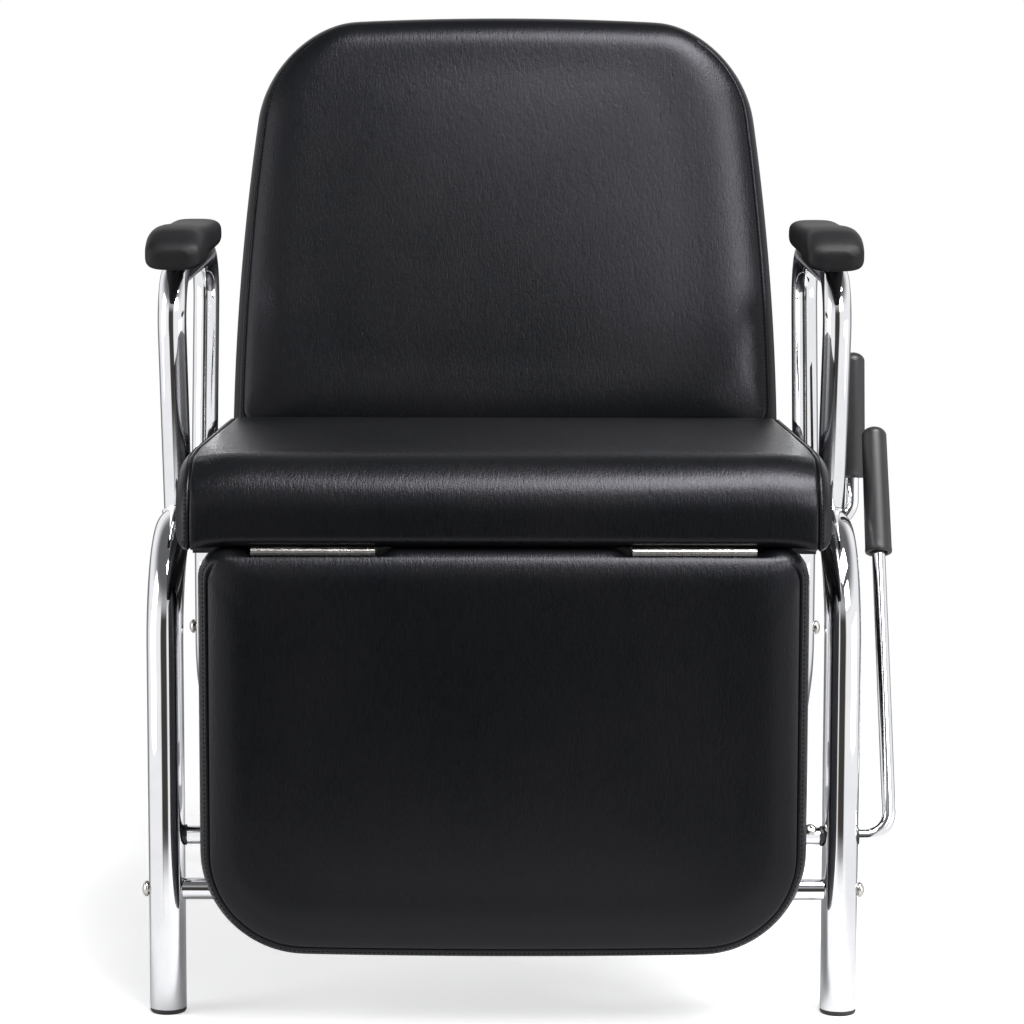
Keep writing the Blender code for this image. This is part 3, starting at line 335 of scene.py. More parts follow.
# The rolled edge: how far inside the tube's radius, and how high.
CAP_EDGE = ((0.0035, 0.0), (0.0012, 0.0004), (0.0002, 0.0016), (0.0, 0.0026), (0.0003, 0.0038),
            (0.0012, 0.0044))
CAP_MIDDLE = 0.002
rolled_edge = [(LEG_RADIUS - inset, high) for inset, high in CAP_EDGE]
cap = [(CAP_MIDDLE, 0.0)] + rolled_edge + [(CAP_MIDDLE, FOOT_Z)]
for hand, side in HANDS:
    for end, y in (("front", 0), ("rear", REAR_FOOT_Y)):
        disc = turned(cap, (side * LEG_X, y, 0), (0, 0, 1))
        shown(f"rubber_foot_{end}_{hand}", disc, rubber, "black_rubber", "frame", f"foot_cap_{end}_{hand}")

# ---------------------------------------------------------------------------------------------------
# Cross bars: chromed steel bars between the front legs and between the rear legs, their ends coped to
# the tube and drawn up by a nickel-plated dome-head bolt from each outer side.

nickel = Finish(bpy.data.materials.new("nickel_plate"), Metallic=1.0)
tarnish = nickel.noise(120.0, 4.0, 0.6)
nickel.feed("Base Color", nickel.blend(tarnish, (0.72, 0.70, 0.66), (0.50, 0.48, 0.45)))
nickel.feed("Roughness", 0.14 + 0.22 * tarnish)
nickel.bump(nickel.noise(900.0, 2.0), 0.0001, 0.4)

TIP = 0.0002
BOLT_WAIST = [(0.004, -0.001), (0.0052, 0.0002), (0.0066, 0.0004)]


def dome(radius, base, rise):
    """The profile of a domed end, from its rim to its tip."""
    angles = [radians(degrees) for degrees in range(0, 88, 8)]
    return [(radius * cos(a), base + rise * sin(a)) for a in angles] + [(TIP, base + rise)]


BAR_RADIUS, BAR_COPE, BOLT_FIT = 0.0095, 0.002, 0.0003
BAR_FRONT_Z, BAR_REAR_Z = 0.110, 0.276
span = LEG_X - LEG_RADIUS + BAR_COPE
bar = [(BAR_RADIUS, high) for high in (-span, -0.1, 0.1, span)]
bolt = BOLT_WAIST + dome(radius=0.0070, base=0.0014, rise=0.0041)
bolt_x = LEG_X + LEG_RADIUS + BOLT_FIT
for end, y, z in (("front", 0, BAR_FRONT_Z), ("rear", REAR_Y, BAR_REAR_Z)):
    rod = turned(bar, (0, y, z), (1, 0, 0), sides=48)
    shown(f"bar_cross_{end}", rod, chrome, "chrome_tube", "frame", f"cross_bar_{end}")
    for hand, side in HANDS:
        head = turned(bolt, (side * bolt_x, y, z), (side, 0, 0))
        shown(f"dome_bolt_{end}_{hand}", head, nickel, "nickel", "frame", f"cross_bolt_{end}_{hand}")

# ---------------------------------------------------------------------------------------------------
# Arm tubes: thinner chromed tube bent into a loop, coped to the run of the side frame and welded on
# it all round before plating, so that a smooth raised bead rings each joint.

ARM_RADIUS, ARM_BENDS = 0.0127, (0.042, 0.042)
ARM_FRONT_FOOT, ARM_FRONT_TOP = (0.128, RUN_Z), (0.076, 0.640)
ARM_REAR_FOOT, ARM_REAR_TOP = (0.378, 0.414), (0.428, 0.655)
ARM_UPRIGHTS = (("front", ARM_FRONT_FOOT, ARM_FRONT_TOP), ("rear", ARM_REAR_FOOT, ARM_REAR_TOP))
BEAD_POINTS, BEAD_RADIUS, BEAD_RIPPLE, BEAD_RIPPLES = 72, 0.0021, 0.00025, 11


def weld_bead(x, foot, top):
    """The bead along the line where a leaning arm tube stands on the run of the side frame."""
    foot = Vector((x, *foot))
    lean = (Vector((x, *top)) - foot).normalized()
    across = Vector((1, 0, 0))
    along = lean.cross(across)
    line, girth = [], []
    for k in range(BEAD_POINTS):
        a = 2 * pi * k / BEAD_POINTS
        spot = foot + ARM_RADIUS * (cos(a) * across + sin(a) * along)
        rise = sqrt(LEG_RADIUS ** 2 - (spot.x - x) ** 2) + RUN_Z - spot.z
        line.append(spot + lean * rise / lean.z)
        girth.append(BEAD_RADIUS + BEAD_RIPPLE * sin(a * BEAD_RIPPLES))
    closed = line[-1:] + line + line[:2]
    rings = swept(closed, girth[-1:] + girth + girth[:2], sides=12)[1:-2]
    return skin(rings, loop=True)


for hand, side in HANDS:
    x = side * LEG_X
    corners = [(x, *place) for place in (ARM_FRONT_FOOT, ARM_FRONT_TOP, ARM_REAR_TOP, ARM_REAR_FOOT)]
    tube = skin(swept(route(corners, ARM_BENDS), ARM_RADIUS, sides=44))
    shown(f"tube_arm_{hand}", tube, chrome, "chrome_tube", "frame", f"arm_tube_{hand}")
    for end, foot, top in ARM_UPRIGHTS:
        shown(f"weld_bead_{end}_{hand}", weld_bead(x, foot, top), chrome, "chrome_tube", "frame")

# ---------------------------------------------------------------------------------------------------
# Arm pads: self-skinned urethane moulded round a steel insert and screwed to the arm tube from below.
# The nose is deep and wide, its top falls to a soft ridge, and it droops over the tube's front bend.

urethane = Finish(bpy.data.materials.new("black_urethane"), Specular_IOR_Level=0.19)
pores = urethane.noise(420.0, 4.0, 0.65)
worn = urethane.noise(16.0, 3.0)
polish = worn.eased(0.45, 0.75)
urethane.feed("Base Color", urethane.blend(polish, (0.0048, 0.0046, 0.0054), (0.0085, 0.0080, 0.0088)))
urethane.feed("Roughness", 0.40 + 0.10 * worn + 0.08 * pores)
urethane.bump(pores, 0.00035, 0.5)


def smoothed(piece):
    """Round a soft piece off by one level of subdivision, into its mesh."""
    shape = bmesh.new()
    shape.from_mesh(piece.data)
    bmesh.ops.triangulate(shape, faces=[face for face in shape.faces if len(face.verts) > 4])
    shape.to_mesh(piece.data)
    shape.free()
    step = piece.modifiers.new("rounding", "SUBSURF")
    step.levels = step.render_levels = 1
    graph = bpy.context.evaluated_depsgraph_get()
    mesh = bpy.data.meshes.new_from_object(piece.evaluated_get(graph), depsgraph=graph)
    piece.modifiers.clear()
    old, piece.data = piece.data, mesh
    mesh.name = piece.name
    mesh.shade_smooth()
    bpy.data.meshes.remove(old)


PAD_X, PAD_FRONT, PAD_LENGTH, PAD_TOP, PAD_HALF = 0.288, 0.030, 0.240, 0.6915, 0.0246
PAD_REAR_HEIGHT, PAD_LEVEL_FROM, NOSE_DEPTH, NOSE_DIP, PAD_FIT = 0.029, 0.7, 0.042, 0.0385, 0.0003
# Points round a section, and the exponents that square off its sides, its top and its underside.
PAD_SIDES, PAD_SIDE_BEND, PAD_TOP_BEND, PAD_BASE_BEND, NOSE_BASE_BEND = 48, 0.55, 0.6, 0.8, 0.2
# Share of the pad's length, then shares of its half width, of the nose's depth and of its dip.
STATIONS = np.array((
    (0.0, 0.55, 0.84, 0.66), (0.006, 0.80, 0.94, 0.60), (0.018, 0.96, 0.99, 0.50), (0.04, 1.02, 1.0, 0.38),
    (0.11, 1.04, 1.0, 0.14), (0.20, 1.02, 1.0, 0.03), (0.30, 1.0, 0.98, 0.0), (0.335, 0.99, 0.90, 0.0),
    (0.36, 0.98, 0.0, 0.0), (0.70, 0.97, 0.0, 0.0), (0.92, 0.96, 0.0, 0.02), (0.985, 0.90, 0.0, 0.07),
    (1.0, 0.75, 0.0, 0.16)))
PAD_STEPS = (0, 0.004, 0.010, 0.018, 0.03, 0.05, 0.075, 0.105, 0.14, 0.18, 0.22, 0.26, 0.295, 0.32,
             0.335, 0.345, 0.355, 0.37, 0.40, 0.45, 0.50, 0.58, 0.66, 0.74, 0.82, 0.89, 0.935, 0.965,
             0.983, 0.993, 1.0)


def arm_pad(x):
    """Rounded sections along the arm, from the nose to the rear end."""
    slope = (ARM_REAR_TOP[1] - ARM_FRONT_TOP[1]) / (ARM_REAR_TOP[0] - ARM_FRONT_TOP[0])
    rings = []
    for along in PAD_STEPS:
        width, nose, dip = [np.interp(along, STATIONS[:, 0], STATIONS[:, k]) for k in (1, 2, 3)]
        y = PAD_FRONT + along * PAD_LENGTH
        seat = ARM_FRONT_TOP[1] + (y - ARM_FRONT_TOP[0]) * slope + ARM_RADIUS + PAD_FIT
        fall = min(1.0, along / PAD_LEVEL_FROM)
        top = PAD_TOP - (PAD_TOP - seat - PAD_REAR_HEIGHT) * fall - dip * NOSE_DIP
        bottom = seat - (seat - PAD_TOP + NOSE_DEPTH) * nose
        under = PAD_BASE_BEND - NOSE_BASE_BEND * nose
        half, middle, tall = PAD_HALF * width, (top + bottom) / 2, (top - bottom) / 2
        ring = []
        for k in range(PAD_SIDES):
            c, s = cos(2 * pi * k / PAD_SIDES), sin(2 * pi * k / PAD_SIDES)
            ring.append((x + half * abs(c) ** PAD_SIDE_BEND * (1 if c > 0 else -1), y,
                         middle + tall * (s ** PAD_TOP_BEND if s > 0 else -abs(s) ** under)))
        rings.append(ring)
    return skin(rings)


for hand, side in HANDS:
    pad = shown(f"moulded_pad_{hand}", arm_pad(side * PAD_X), urethane, "black_urethane", "frame",
                f"arm_pad_{hand}")
    smoothed(pad)

# ---------------------------------------------------------------------------------------------------
# Seat rails: square steel tube under the seat board, lengthways and across, welded between the side
# frames and stove-enamelled black. The solids are right as they are and only take their paint.


def dressed(finish, *nodes):
    """Give solids of the chair their finish."""
    for node in nodes:
        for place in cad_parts[node].material_slots:
            place.material = finish.owner


enamel = Finish(bpy.data.materials.new("black_enamel"), Specular_IOR_Level=0.5)
peel = enamel.noise(300.0, 2.0)
rub = enamel.noise(45.0, 5.0, 0.65).eased(0.62, 0.74)
enamel.feed("Base Color", enamel.blend(rub, (0.016, 0.016, 0.018), (0.07, 0.068, 0.066)))
enamel.feed("Roughness", 0.30 + 0.12 * peel + 0.2 * rub)
enamel.bump(peel, 0.0002, 0.4)
dressed(enamel, "seat_rail_right", "seat_rail_left", "seat_cross_rail_front", "seat_cross_rail_rear")

# ---------------------------------------------------------------------------------------------------
# Seat: black vinyl over foam on a plywood board. One panel wraps from the underside over the deep front
# roll to the rear, and a boxed side panel is sewn on each end with a row of top stitches beside the
# seam. Dust cloth is stapled under the board.

vinyl = Finish(bpy.data.materials.new("black_vinyl"), Specular_IOR_Level=0.235,
               Specular_Tint=(0.91, 0.90, 1.0, 1.0))
tone = vinyl.noise(7.0, 3.0)
grain = vinyl.noise(1100.0, 3.0, 0.6)
pebble = vinyl.node("TexVoronoi", {"feature": "SMOOTH_F1"}, {"Vector": vinyl.place(), "Scale": 620.0})
streak = vinyl.noise(480.0, 3.0, 0.6, vinyl.place(1.0, 0.26, 0.26), bend=0.9)
crease = 1 - abs(2 * vinyl.noise(75.0, 3.0, 0.6, vinyl.place(1.0, 0.55, 0.55)) - 1).eased(0.0, 0.10)
slack = vinyl.noise(26.0, 3.0, 0.5, vinyl.place(1.0, 0.45, 0.35))
patch = tone.eased(0.3, 0.75)
vinyl.feed("Base Color", vinyl.blend(patch, (0.0024, 0.0028, 0.0034), (0.0037, 0.0039, 0.0045)))
vinyl.feed("Roughness", 0.25 + 0.07 * tone + 0.06 * streak - 0.03 * crease)
vinyl.bump(0.15 * grain + 0.10 * pebble + 0.75 * streak - 0.08 * crease + 0.5 * slack, 0.0005, 0.6)

THREADS = 4200.0
dust_cloth = Finish(bpy.data.materials.new("dust_cloth"), Roughness=0.92, Specular_IOR_Level=0.15)
spot = dust_cloth.node("SeparateXYZ", {}, {0: dust_cloth.place()})
weave = (spot.out("X") * THREADS).wave() * (spot.out("Y") * THREADS).wave()
ridge = weave.eased(-0.6, 0.8)
dust_cloth.feed("Base Color", dust_cloth.blend(ridge, (0.006, 0.006, 0.006), (0.022, 0.022, 0.023)))
dust_cloth.bump(weave, 0.0002, 0.5)

thread = Finish(bpy.data.materials.new("black_thread"), Roughness=0.7, Specular_IOR_Level=0.12)
lay = thread.noise(1500.0, 2.0)
thread.feed("Base Color", thread.blend(lay, (0.0012, 0.0012, 0.0014), (0.0030, 0.0030, 0.0032)))
thread.bump(lay, 0.0003, 0.6)


def swollen(piece, held, limit, pressure=4.0, frames=20):
    """Let the filling swell a cover between its sewn edges.

    held is how firmly each point is held, from 0 to 1. The freest point moves by the limit at most.
    """
    scene = bpy.context.scene
    group = piece.vertex_groups.new(name="sewn")
    for index, hold in enumerate(held):
        group.add([index], hold, "REPLACE")
    cover = piece.modifiers.new("filling", "CLOTH")
    cloth = cover.settings
    cloth.quality, cloth.mass, cloth.air_damping = 6, 0.35, 4.0
    cloth.tension_stiffness = cloth.compression_stiffness = cloth.shear_stiffness = 30.0
    cloth.bending_stiffness = 3.0
    cloth.use_pressure, cloth.uniform_pressure_force = True, pressure
    cloth.effector_weights.gravity = 0.0
    cloth.vertex_group_mass = "sewn"
    cover.point_cache.frame_start, cover.point_cache.frame_end = 1, frames
    for step in range(1, frames + 1):
        scene.frame_set(step)
    graph = bpy.context.evaluated_depsgraph_get()
    moved = [vertex.co.copy() for vertex in piece.evaluated_get(graph).data.vertices]
    piece.modifiers.remove(cover)
    scene.frame_set(1)
    piece.vertex_groups.remove(group)
    shifts = [place - vertex.co for vertex, place in zip(piece.data.vertices, moved)]
    share = min(1.0, limit / max(shift.length for shift in shifts))
    for vertex, shift in zip(piece.data.vertices, shifts):
        vertex.co += shift * share


# Sections of one stitch: share of its length, of its girth, and how far it sinks in girths.
STITCH = ((-0.5, 0.3, 0.9), (-0.36, 0.85, 0.1), (0, 1.0, -0.25), (0.36, 0.85, 0.1), (0.5, 0.3, 0.9))
STITCH_SIDES = 6


def stitch_row(name, cover, line, body, pitch=0.0040, length=0.0029, girth=0.00052):
    """Top stitches along a line of points, laid on a cover and drawn down into it at their ends."""
    mesh = cover.data
    ground = BVHTree.FromPolygons([v.co for v in mesh.vertices], [p.vertices for p in mesh.polygons])
    line = [Vector(point) for point in line]
    marks = [0.0]
    for start, end in zip(line, line[1:]):
        marks.append(marks[-1] + (end - start).length)
    angles = [2 * pi * k / STITCH_SIDES for k in range(STITCH_SIDES)]
    places, faces = [], []
    for number in range(int(marks[-1] / pitch)):
        ends = []
        for reach in (number * pitch, number * pitch + length):
            i = min(int(np.searchsorted(marks, reach, "right")) - 1, len(line) - 2)
            share = (reach - marks[i]) / max(marks[i + 1] - marks[i], 1e-9)
            ends.append(line[i].lerp(line[i + 1], share))
        spot, normal, _, _ = ground.find_nearest(home + (ends[0] + ends[1]) / 2)
        run = (ends[1] - ends[0]).normalized()
        side = normal.cross(run).normalized()
        first = len(places)
        for along, size, sink in STITCH:
            middle = spot - home + run * (along * length) - normal * (sink * girth)
            places += [middle + girth * size * (cos(a) * side + sin(a) * normal) for a in angles]
        last = len(places) - STITCH_SIDES
        faces += bands(len(STITCH), STITCH_SIDES, first)
        faces += [tuple(range(end, end + STITCH_SIDES)) for end in (first, last)]
    return shown(name, (places, faces), thread, "black_vinyl", body)


def ramp(value, low, high):
    """0 below low, 1 above high, and straight between."""
    return min(max((value - low) / (high - low), 0.0), 1.0)


def hump(value, middle, reach):
    """1 in the middle, falling to 0 at its reach."""
    return max(0.0, 1 - ((value - middle) / reach) ** 2)


SEAT_FRONT, SEAT_BACK = -0.080, 0.426
SEAT_BASE, SEAT_FRONT_TOP, SEAT_REAR_TOP = 0.4209, 0.4985, 0.4890
# The section's corners: radius, points along the run before it and points round it.
SEAT_CORNERS = ((0.011, 10, 8), (0.051, 6, 16), (0.018, 38, 8), (0.011, 5, 8))
SEAT_LAST_RUN, LEAST_BEND = 10, 0.003
SEAT_SEAM, SEAT_STITCHES, SEAT_SEWN = 0.2655, (0.2692, 0.0018), slice(14, 90)
# The crown, the front roll's swell, and how far the roll's ends and its lower corners sag, with the
# middle and reach of each hump and the start and end of each ramp.
SEAT_CROWN, CROWN_Y = 0.002, (0.17, 0.25)
ROLL_SWELL, SWELL_Z = 0.003, (0.452, 0.035)
ROLL_SAG, ROLL_SAG_X, ROLL_SAG_AHEAD = 0.005, (0.215, 0.260), (-0.035, 0.055)
CORNER_SAG, CORNER_SAG_X = 0.0045, (0.238, 0.266)
SEAT_UPPER, SEAT_NOSE = (0.455, 0.490), (0.0, 0.06)


def seat_section(x, inset):
    """The seat's outline at one place across it, from under its middle round the front and rear."""
    low, front, rear = SEAT_BASE + inset, SEAT_FRONT + inset, SEAT_BACK - inset
    under, front_top, rear_top = ((front + rear) / 2, low), SEAT_FRONT_TOP - inset, SEAT_REAR_TOP - inset
    trail = [under, (front, low), (front, front_top), (rear, rear_top), (rear, low), under]
    trail = [Vector((y, z, 0)) for y, z in trail]
    points, last = [], trail[0]
    for before, corner, after, (radius, run, bend) in zip(trail, trail[1:], trail[2:], SEAT_CORNERS):
        turn = arc(before, corner, after, max(radius - inset, LEAST_BEND), bend)
        points += [last.lerp(turn[0], i / run) for i in range(run)] + turn[:-1]
        last = turn[-1]
    points += [last.lerp(trail[-1], i / SEAT_LAST_RUN) for i in range(SEAT_LAST_RUN)]
    middle = hump(x, 0, SEAT_SEAM)
    end = ramp(abs(x), *ROLL_SAG_X) ** 2
    tip = ramp(abs(x), *CORNER_SAG_X) ** 2
    ring = []
    for y, z, _ in points:
        top, nose = ramp(z, *SEAT_UPPER), ramp(-y, *SEAT_NOSE)
        z += SEAT_CROWN * top * hump(y, *CROWN_Y) * middle ** 0.8
        y -= ROLL_SWELL * nose * middle * hump(z, *SWELL_Z)
        roll_end = end * top * ramp(-y, *ROLL_SAG_AHEAD) ** 1.5
        z -= CORNER_SAG * tip * nose * (1 - top) + ROLL_SAG * roll_end
        ring.append((x, y, z))
    return ring


# The ends of the seat, across and inwards: the panel's edge, the seam's groove and the boxed side.
SEAT_ENDS = (
    (0.2600, 0.0), (0.2634, 0.0004), (0.2646, 0.0010), (SEAT_SEAM, 0.0034), (0.2664, 0.0013),
    (0.2676, 0.0010), (0.2700, 0.0021), (0.2730, 0.0046), (0.2757, 0.0085), (0.2774, 0.0135),
    (0.2783, 0.0195), (0.2787, 0.0270))
SEAT_FLAT, SEAT_FLAT_RINGS = 0.245, 31
# Where the cover starts to be free: inward from the seams, upward, and forward from the rear.
FREE_INWARD, FREE_UPWARD, FREE_FORWARD = (-0.262, -0.242), (0.440, 0.470), (-0.405, -0.375)
DUST_HALF, DUST_FRONT, DUST_REAR = 0.252, -0.052, 0.398
across = [(-x, inset) for x, inset in reversed(SEAT_ENDS)]
across += [(x, 0.0) for x in np.linspace(-SEAT_FLAT, SEAT_FLAT, SEAT_FLAT_RINGS)] + list(SEAT_ENDS)
form = skin([seat_section(x, inset) for x, inset in across])
seat = shown("seat_cover", form, vinyl, "black_vinyl", "frame", "seat_cushion", "seat_board")
held = []
for vertex in seat.data.vertices:
    x, y, z = vertex.co - home
    upper = ramp(z, *FREE_UPWARD) * ramp(-y, *FREE_FORWARD)
    held.append(1.0 - ramp(-abs(x), *FREE_INWARD) * upper)
swollen(seat, held, limit=0.003)
smoothed(seat)
seat.data.materials.append(dust_cloth.owner)
for face in seat.data.polygons:
    spot = face.center - home
    if face.normal.z < -0.9 and abs(spot.x) < DUST_HALF and DUST_FRONT < spot.y < DUST_REAR:
        face.material_index = 1
for hand, side in HANDS:
    x, inset = SEAT_STITCHES
    stitch_row(f"seat_stitches_{hand}", seat, seat_section(side * x, inset)[SEAT_SEWN], "frame")

# ---------------------------------------------------------------------------------------------------
# Back: foam on a plywood board in black vinyl, rolled softly over the rounded top. Boxed side panels
# are sewn on from the top corners down, top-stitched beside the seam, and a plain panel closes the rear.

# Points round a corner, its least radius and how that grows inwards, and the extra room its points take.
CORNER_STEPS, CORNER_LEAST, CORNER_GROWTH, CORNER_SHARE = 24, 0.012, 0.7, 0.0012


def panel_edge(half, low, high, corners, taper, arches):
    """A function for points round a cushion, drawn in by an inset: so many for each of its four sides.

    corners and arches are the radii and the swell of the lower and the upper edge; taper narrows the top.
    """
    middle, span = (low + high) / 2, high - low
    quarters = ((1, -1, corners[0], -90), (1, 1, corners[1], 0), (-1, 1, corners[1], 90),
                (-1, -1, corners[0], 180))

    def edge(inset, count):
        bends, marks = [], []
        for sx, sz, radius, start in quarters:
            r = max(radius - inset, CORNER_LEAST + CORNER_GROWTH * inset)
            cx, cz = sx * (half - inset - r), (high - inset - r if sz > 0 else low + inset + r)
            marks.append(len(bends) + CORNER_STEPS // 2)
            for i in range(CORNER_STEPS + 1):
                a = radians(start + 90 / CORNER_STEPS * i)
                bends.append((cx + r * cos(a), cz + r * sin(a), i))
        closed = bends + bends[:1]
        reach = [0.0]
        for (x0, z0, _), (x1, z1, step) in zip(closed, closed[1:]):
            reach.append(reach[-1] + hypot(x1 - x0, z1 - z0) + (CORNER_SHARE if step else 0))
        ring = []
        for side in range(4):
            begin = reach[marks[side]]
            stop = reach[marks[(side + 1) % 4]] + (reach[-1] if side == 3 else 0)
            for i in range(count):
                at = (begin + (stop - begin) * i / count) % reach[-1]
                k = min(int(np.searchsorted(reach, at, "right")) - 1, len(bends) - 1)
                share = (at - reach[k]) / max(reach[k + 1] - reach[k], 1e-9)
                x = closed[k][0] + (closed[k + 1][0] - closed[k][0]) * share
                z = closed[k][1] + (closed[k + 1][1] - closed[k][1]) * share
                rise = (z - low) / span
                arch = arches[1] * rise if z > middle else arches[0] * (rise - 1)
                ring.append((x * (1 - taper * rise * rise), z + (1 - (x / half) ** 2) * arch))
        return np.array(ring)

    return edge


INSET_STEP, INSETS = 0.002, 32
ROLL_BEND = 0.92
# The hem of the rear panel and the turn into the side wall: inset, and how far in front of the rear.
REAR_EDGE = ((0.0150, 0.0), (0.0110, 0.0), (0.0098, 0.0010), (0.0086, 0.0), (0.0040, 0.0012),
             (0.0010, 0.0055), (0.0, 0.013))
SEAM_HALF, SEAM_REACH, SEAM_LIP, SEAM_SINK = 0.0009, 2.6, 0.0008, 0.0060
# How firmly the roll's inner rim and the face are held, and how that eases with each ring inwards.
RIM_HOLD, FACE_HOLD, FACE_EASE = 0.85, 0.8, 0.1


def boxed_cushion(edge, rear, front, crown, roll, seam, stitched, sewn, ceiling, count=56):
    """A cushion with a broad rolled front edge, a crowned face and a seam round the sides that sewn picks.

    roll gives the roll's width and depth, and sewn the seam's share, for an outward normal of the outline;
    seam and stitched are how far the seam and the stitches lie inside it, and ceiling caps the height.
    Returns the form, the line of the stitches with its sewn share, and how firmly each point is held.
    """
    table = np.array([edge(INSET_STEP * i, count) for i in range(INSETS)])
    outline = table[0]
    tangent = np.roll(outline, -1, 0) - np.roll(outline, 1, 0)
    normal = np.stack([tangent[:, 1], -tangent[:, 0]], 1) / np.linalg.norm(tangent, axis=1)[:, None]
    wide, deep = np.array([roll(*n) for n in normal]).T
    share = np.array([sewn(*n) for n in normal])
    middle = (outline.max(0) + outline.min(0)) / 2
    around = 4 * count

    def ring(inset, depth):
        at = np.clip(np.broadcast_to(inset, around) / INSET_STEP, 0, INSETS - 1.001)
        low = at.astype(int)
        part = (at - low)[:, None]
        flat = table[low, np.arange(around)] * (1 - part) + table[low + 1, np.arange(around)] * part
        depth = np.broadcast_to(depth, around)
        top = [ceiling(x, y) for x, y in zip(flat[:, 0], depth)]
        return np.stack([flat[:, 0], depth, np.minimum(flat[:, 1], top)], 1)

    def rolled(turn, sink=0.0):
        inset = wide - (wide - sink * share) * np.cos(turn) ** ROLL_BEND
        return ring(inset, front + deep - (deep - sink * share) * np.sin(turn) ** ROLL_BEND)

    def turn_at(inset):
        return np.arccos((1 - inset / wide) ** (1 / ROLL_BEND))

    def number(a, b, size):
        """A point's place in the ring round a square of cells."""
        if b == 0 and a < size:
            return a
        if a == size and b < size:
            return size + b
        if b == size and a > 0:
            return 2 * size + size - a
        return 3 * size + size - b if size else 0

    rings = [ring(inset, rear - ahead) for inset, ahead in REAR_EDGE]
    shoulder = rear - REAR_EDGE[-1][1]
    wall = shoulder - (front + deep)
    rings += [ring(0.0, shoulder - wall * part) for part in (0.35, 0.7)]
    fold, step = turn_at(seam), SEAM_HALF / np.sqrt(wide * deep)
    near, far = fold - SEAM_REACH * step, fold + SEAM_REACH * step
    rings += [rolled(near * part) for part in (0.0, 0.25, 0.5, 0.75, 1.0)]
    rings += [rolled(fold - step, SEAM_LIP), rolled(fold, SEAM_SINK), rolled(fold + step, SEAM_LIP)]
    rings += [rolled(far + (pi / 2 - far) * part) for part in (0.0, 0.2, 0.4, 0.6, 0.8, 1.0)]
    rim = rings[-1][:, [0, 2]]
    bound = np.abs(rim - middle).max(0)
    places = [tuple(place) for row in rings for place in row]
    faces = [tuple(range(around))] + bands(len(rings), around)
    held = [1.0] * (len(places) - around) + [RIM_HOLD] * around

    grid, start = {}, len(places) - around
    for depth in range(count // 2 + 1):
        size = count - 2 * depth
        if depth:
            start = len(places)
            pick = np.linspace(0, count, size, endpoint=False)
            pick = np.concatenate([pick + count * side for side in range(4)])
            low = pick.astype(int)
            part = (pick - low)[:, None]
            flat = rim[low] * (1 - part) + rim[(low + 1) % around] * part
            flat = middle + (flat - middle) * (1 - 2 * depth / count) if size else np.array([middle])
            for x, z in flat:
                u, v = np.minimum(np.abs((x, z) - middle) / bound, 1)
                places.append((x, front - crown * ((1 - u * u) * (1 - v * v)) ** 1.5, z))
                held.append(max(0.0, FACE_HOLD - FACE_EASE * depth))
        for a in range(depth, count - depth + 1):
            for b in range(depth, count - depth + 1):
                if min(a, b, count - a, count - b) == depth:
                    grid[a, b] = start + number(a - depth, b - depth, size)
    for a in range(count):
        for b in range(count):
            faces.append((grid[a, b], grid[a + 1, b], grid[a + 1, b + 1], grid[a, b + 1]))
    row = [(tuple(place), part) for place, part in zip(rolled(turn_at(stitched)), share)]
    return (places, faces), row, held


def eased(value, low, high):
    """0 below low, 1 above high, and a soft step between."""
    part = ramp(value, low, high)
    return part * part * (3 - 2 * part)


def sewn_runs(row):
    """The stretches of a ring of points that are sewn, each as a line."""
    count = len(row)
    start = next((i for i in range(count) if row[i][1] < 0.5), 0)
    runs, line = [], []
    for i in range(start, start + count + 1):
        place, share = row[i % count]
        if share >= 0.5:
            line.append(place)
        elif line:
            runs.append(line)
            line = []
    return [run for run in runs if len(run) > 3]


def back_roll(x, z):
    """The roll's width and depth: narrower and deeper along the top."""
    upper = eased(z, 0.5, 1.0)
    return 0.056 - 0.021 * upper, 0.026 + 0.003 * upper


BACK_PIVOT, BACK_LEAN = (0, 0.450, 0.41135), radians(-16)
back_place = Matrix.Translation(BACK_PIVOT) @ Matrix.Rotation(BACK_LEAN, 4, "X")
back_edge = panel_edge(half=0.2725, low=0.050, high=0.4798, corners=(0.014, 0.098), taper=0.126,
                       arches=(0.002, 0.0098))
form, row, held = boxed_cushion(back_edge, rear=0.0350, front=-0.0340, crown=0.0025, roll=back_roll,
                                seam=0.0092, stitched=0.0110,
                                sewn=lambda x, z: eased(abs(x), 0.55, 0.75), ceiling=lambda x, y: 1.0)
form = [back_place @ Vector(place) for place in form[0]], form[1]
back = shown("back_cover", form, vinyl, "black_vinyl", "back", "back_cushion", "back_board")
swollen(back, held, limit=0.002)
smoothed(back)
for number, run in enumerate(sewn_runs(row)):
    stitch_row(f"back_stitches_{number}", back, [back_place @ Vector(place) for place in run], "back")

# ---------------------------------------------------------------------------------------------------
# Back hinges and lock arm: zinc-plated steel plates, welded to flanges that screw to the back's board.
# Each plate turns on a dome-head bolt through the rear end of a seat rail.

zinc = Finish(bpy.data.materials.new("zinc_plate"), Metallic=1.0)
spangle = zinc.node("TexVoronoi", {"feature": "F1"}, {"Vector": zinc.place(), "Scale": 140.0})
brushed = zinc.noise(260.0, 3.0, 0.6, zinc.place(1.0, 1.0, 0.08))
zinc.feed("Base Color", zinc.blend(spangle, (0.58, 0.59, 0.60), (0.42, 0.43, 0.45)))
zinc.feed("Roughness", 0.28 + 0.18 * brushed + 0.1 * spangle)
zinc.bump(brushed, 0.0002, 0.4)
dressed(zinc, "back_hinge_plate_right", "back_hinge_plate_left", "back_lock_arm")
dressed(nickel, "back_pivot_bolt_right", "back_pivot_bolt_left")

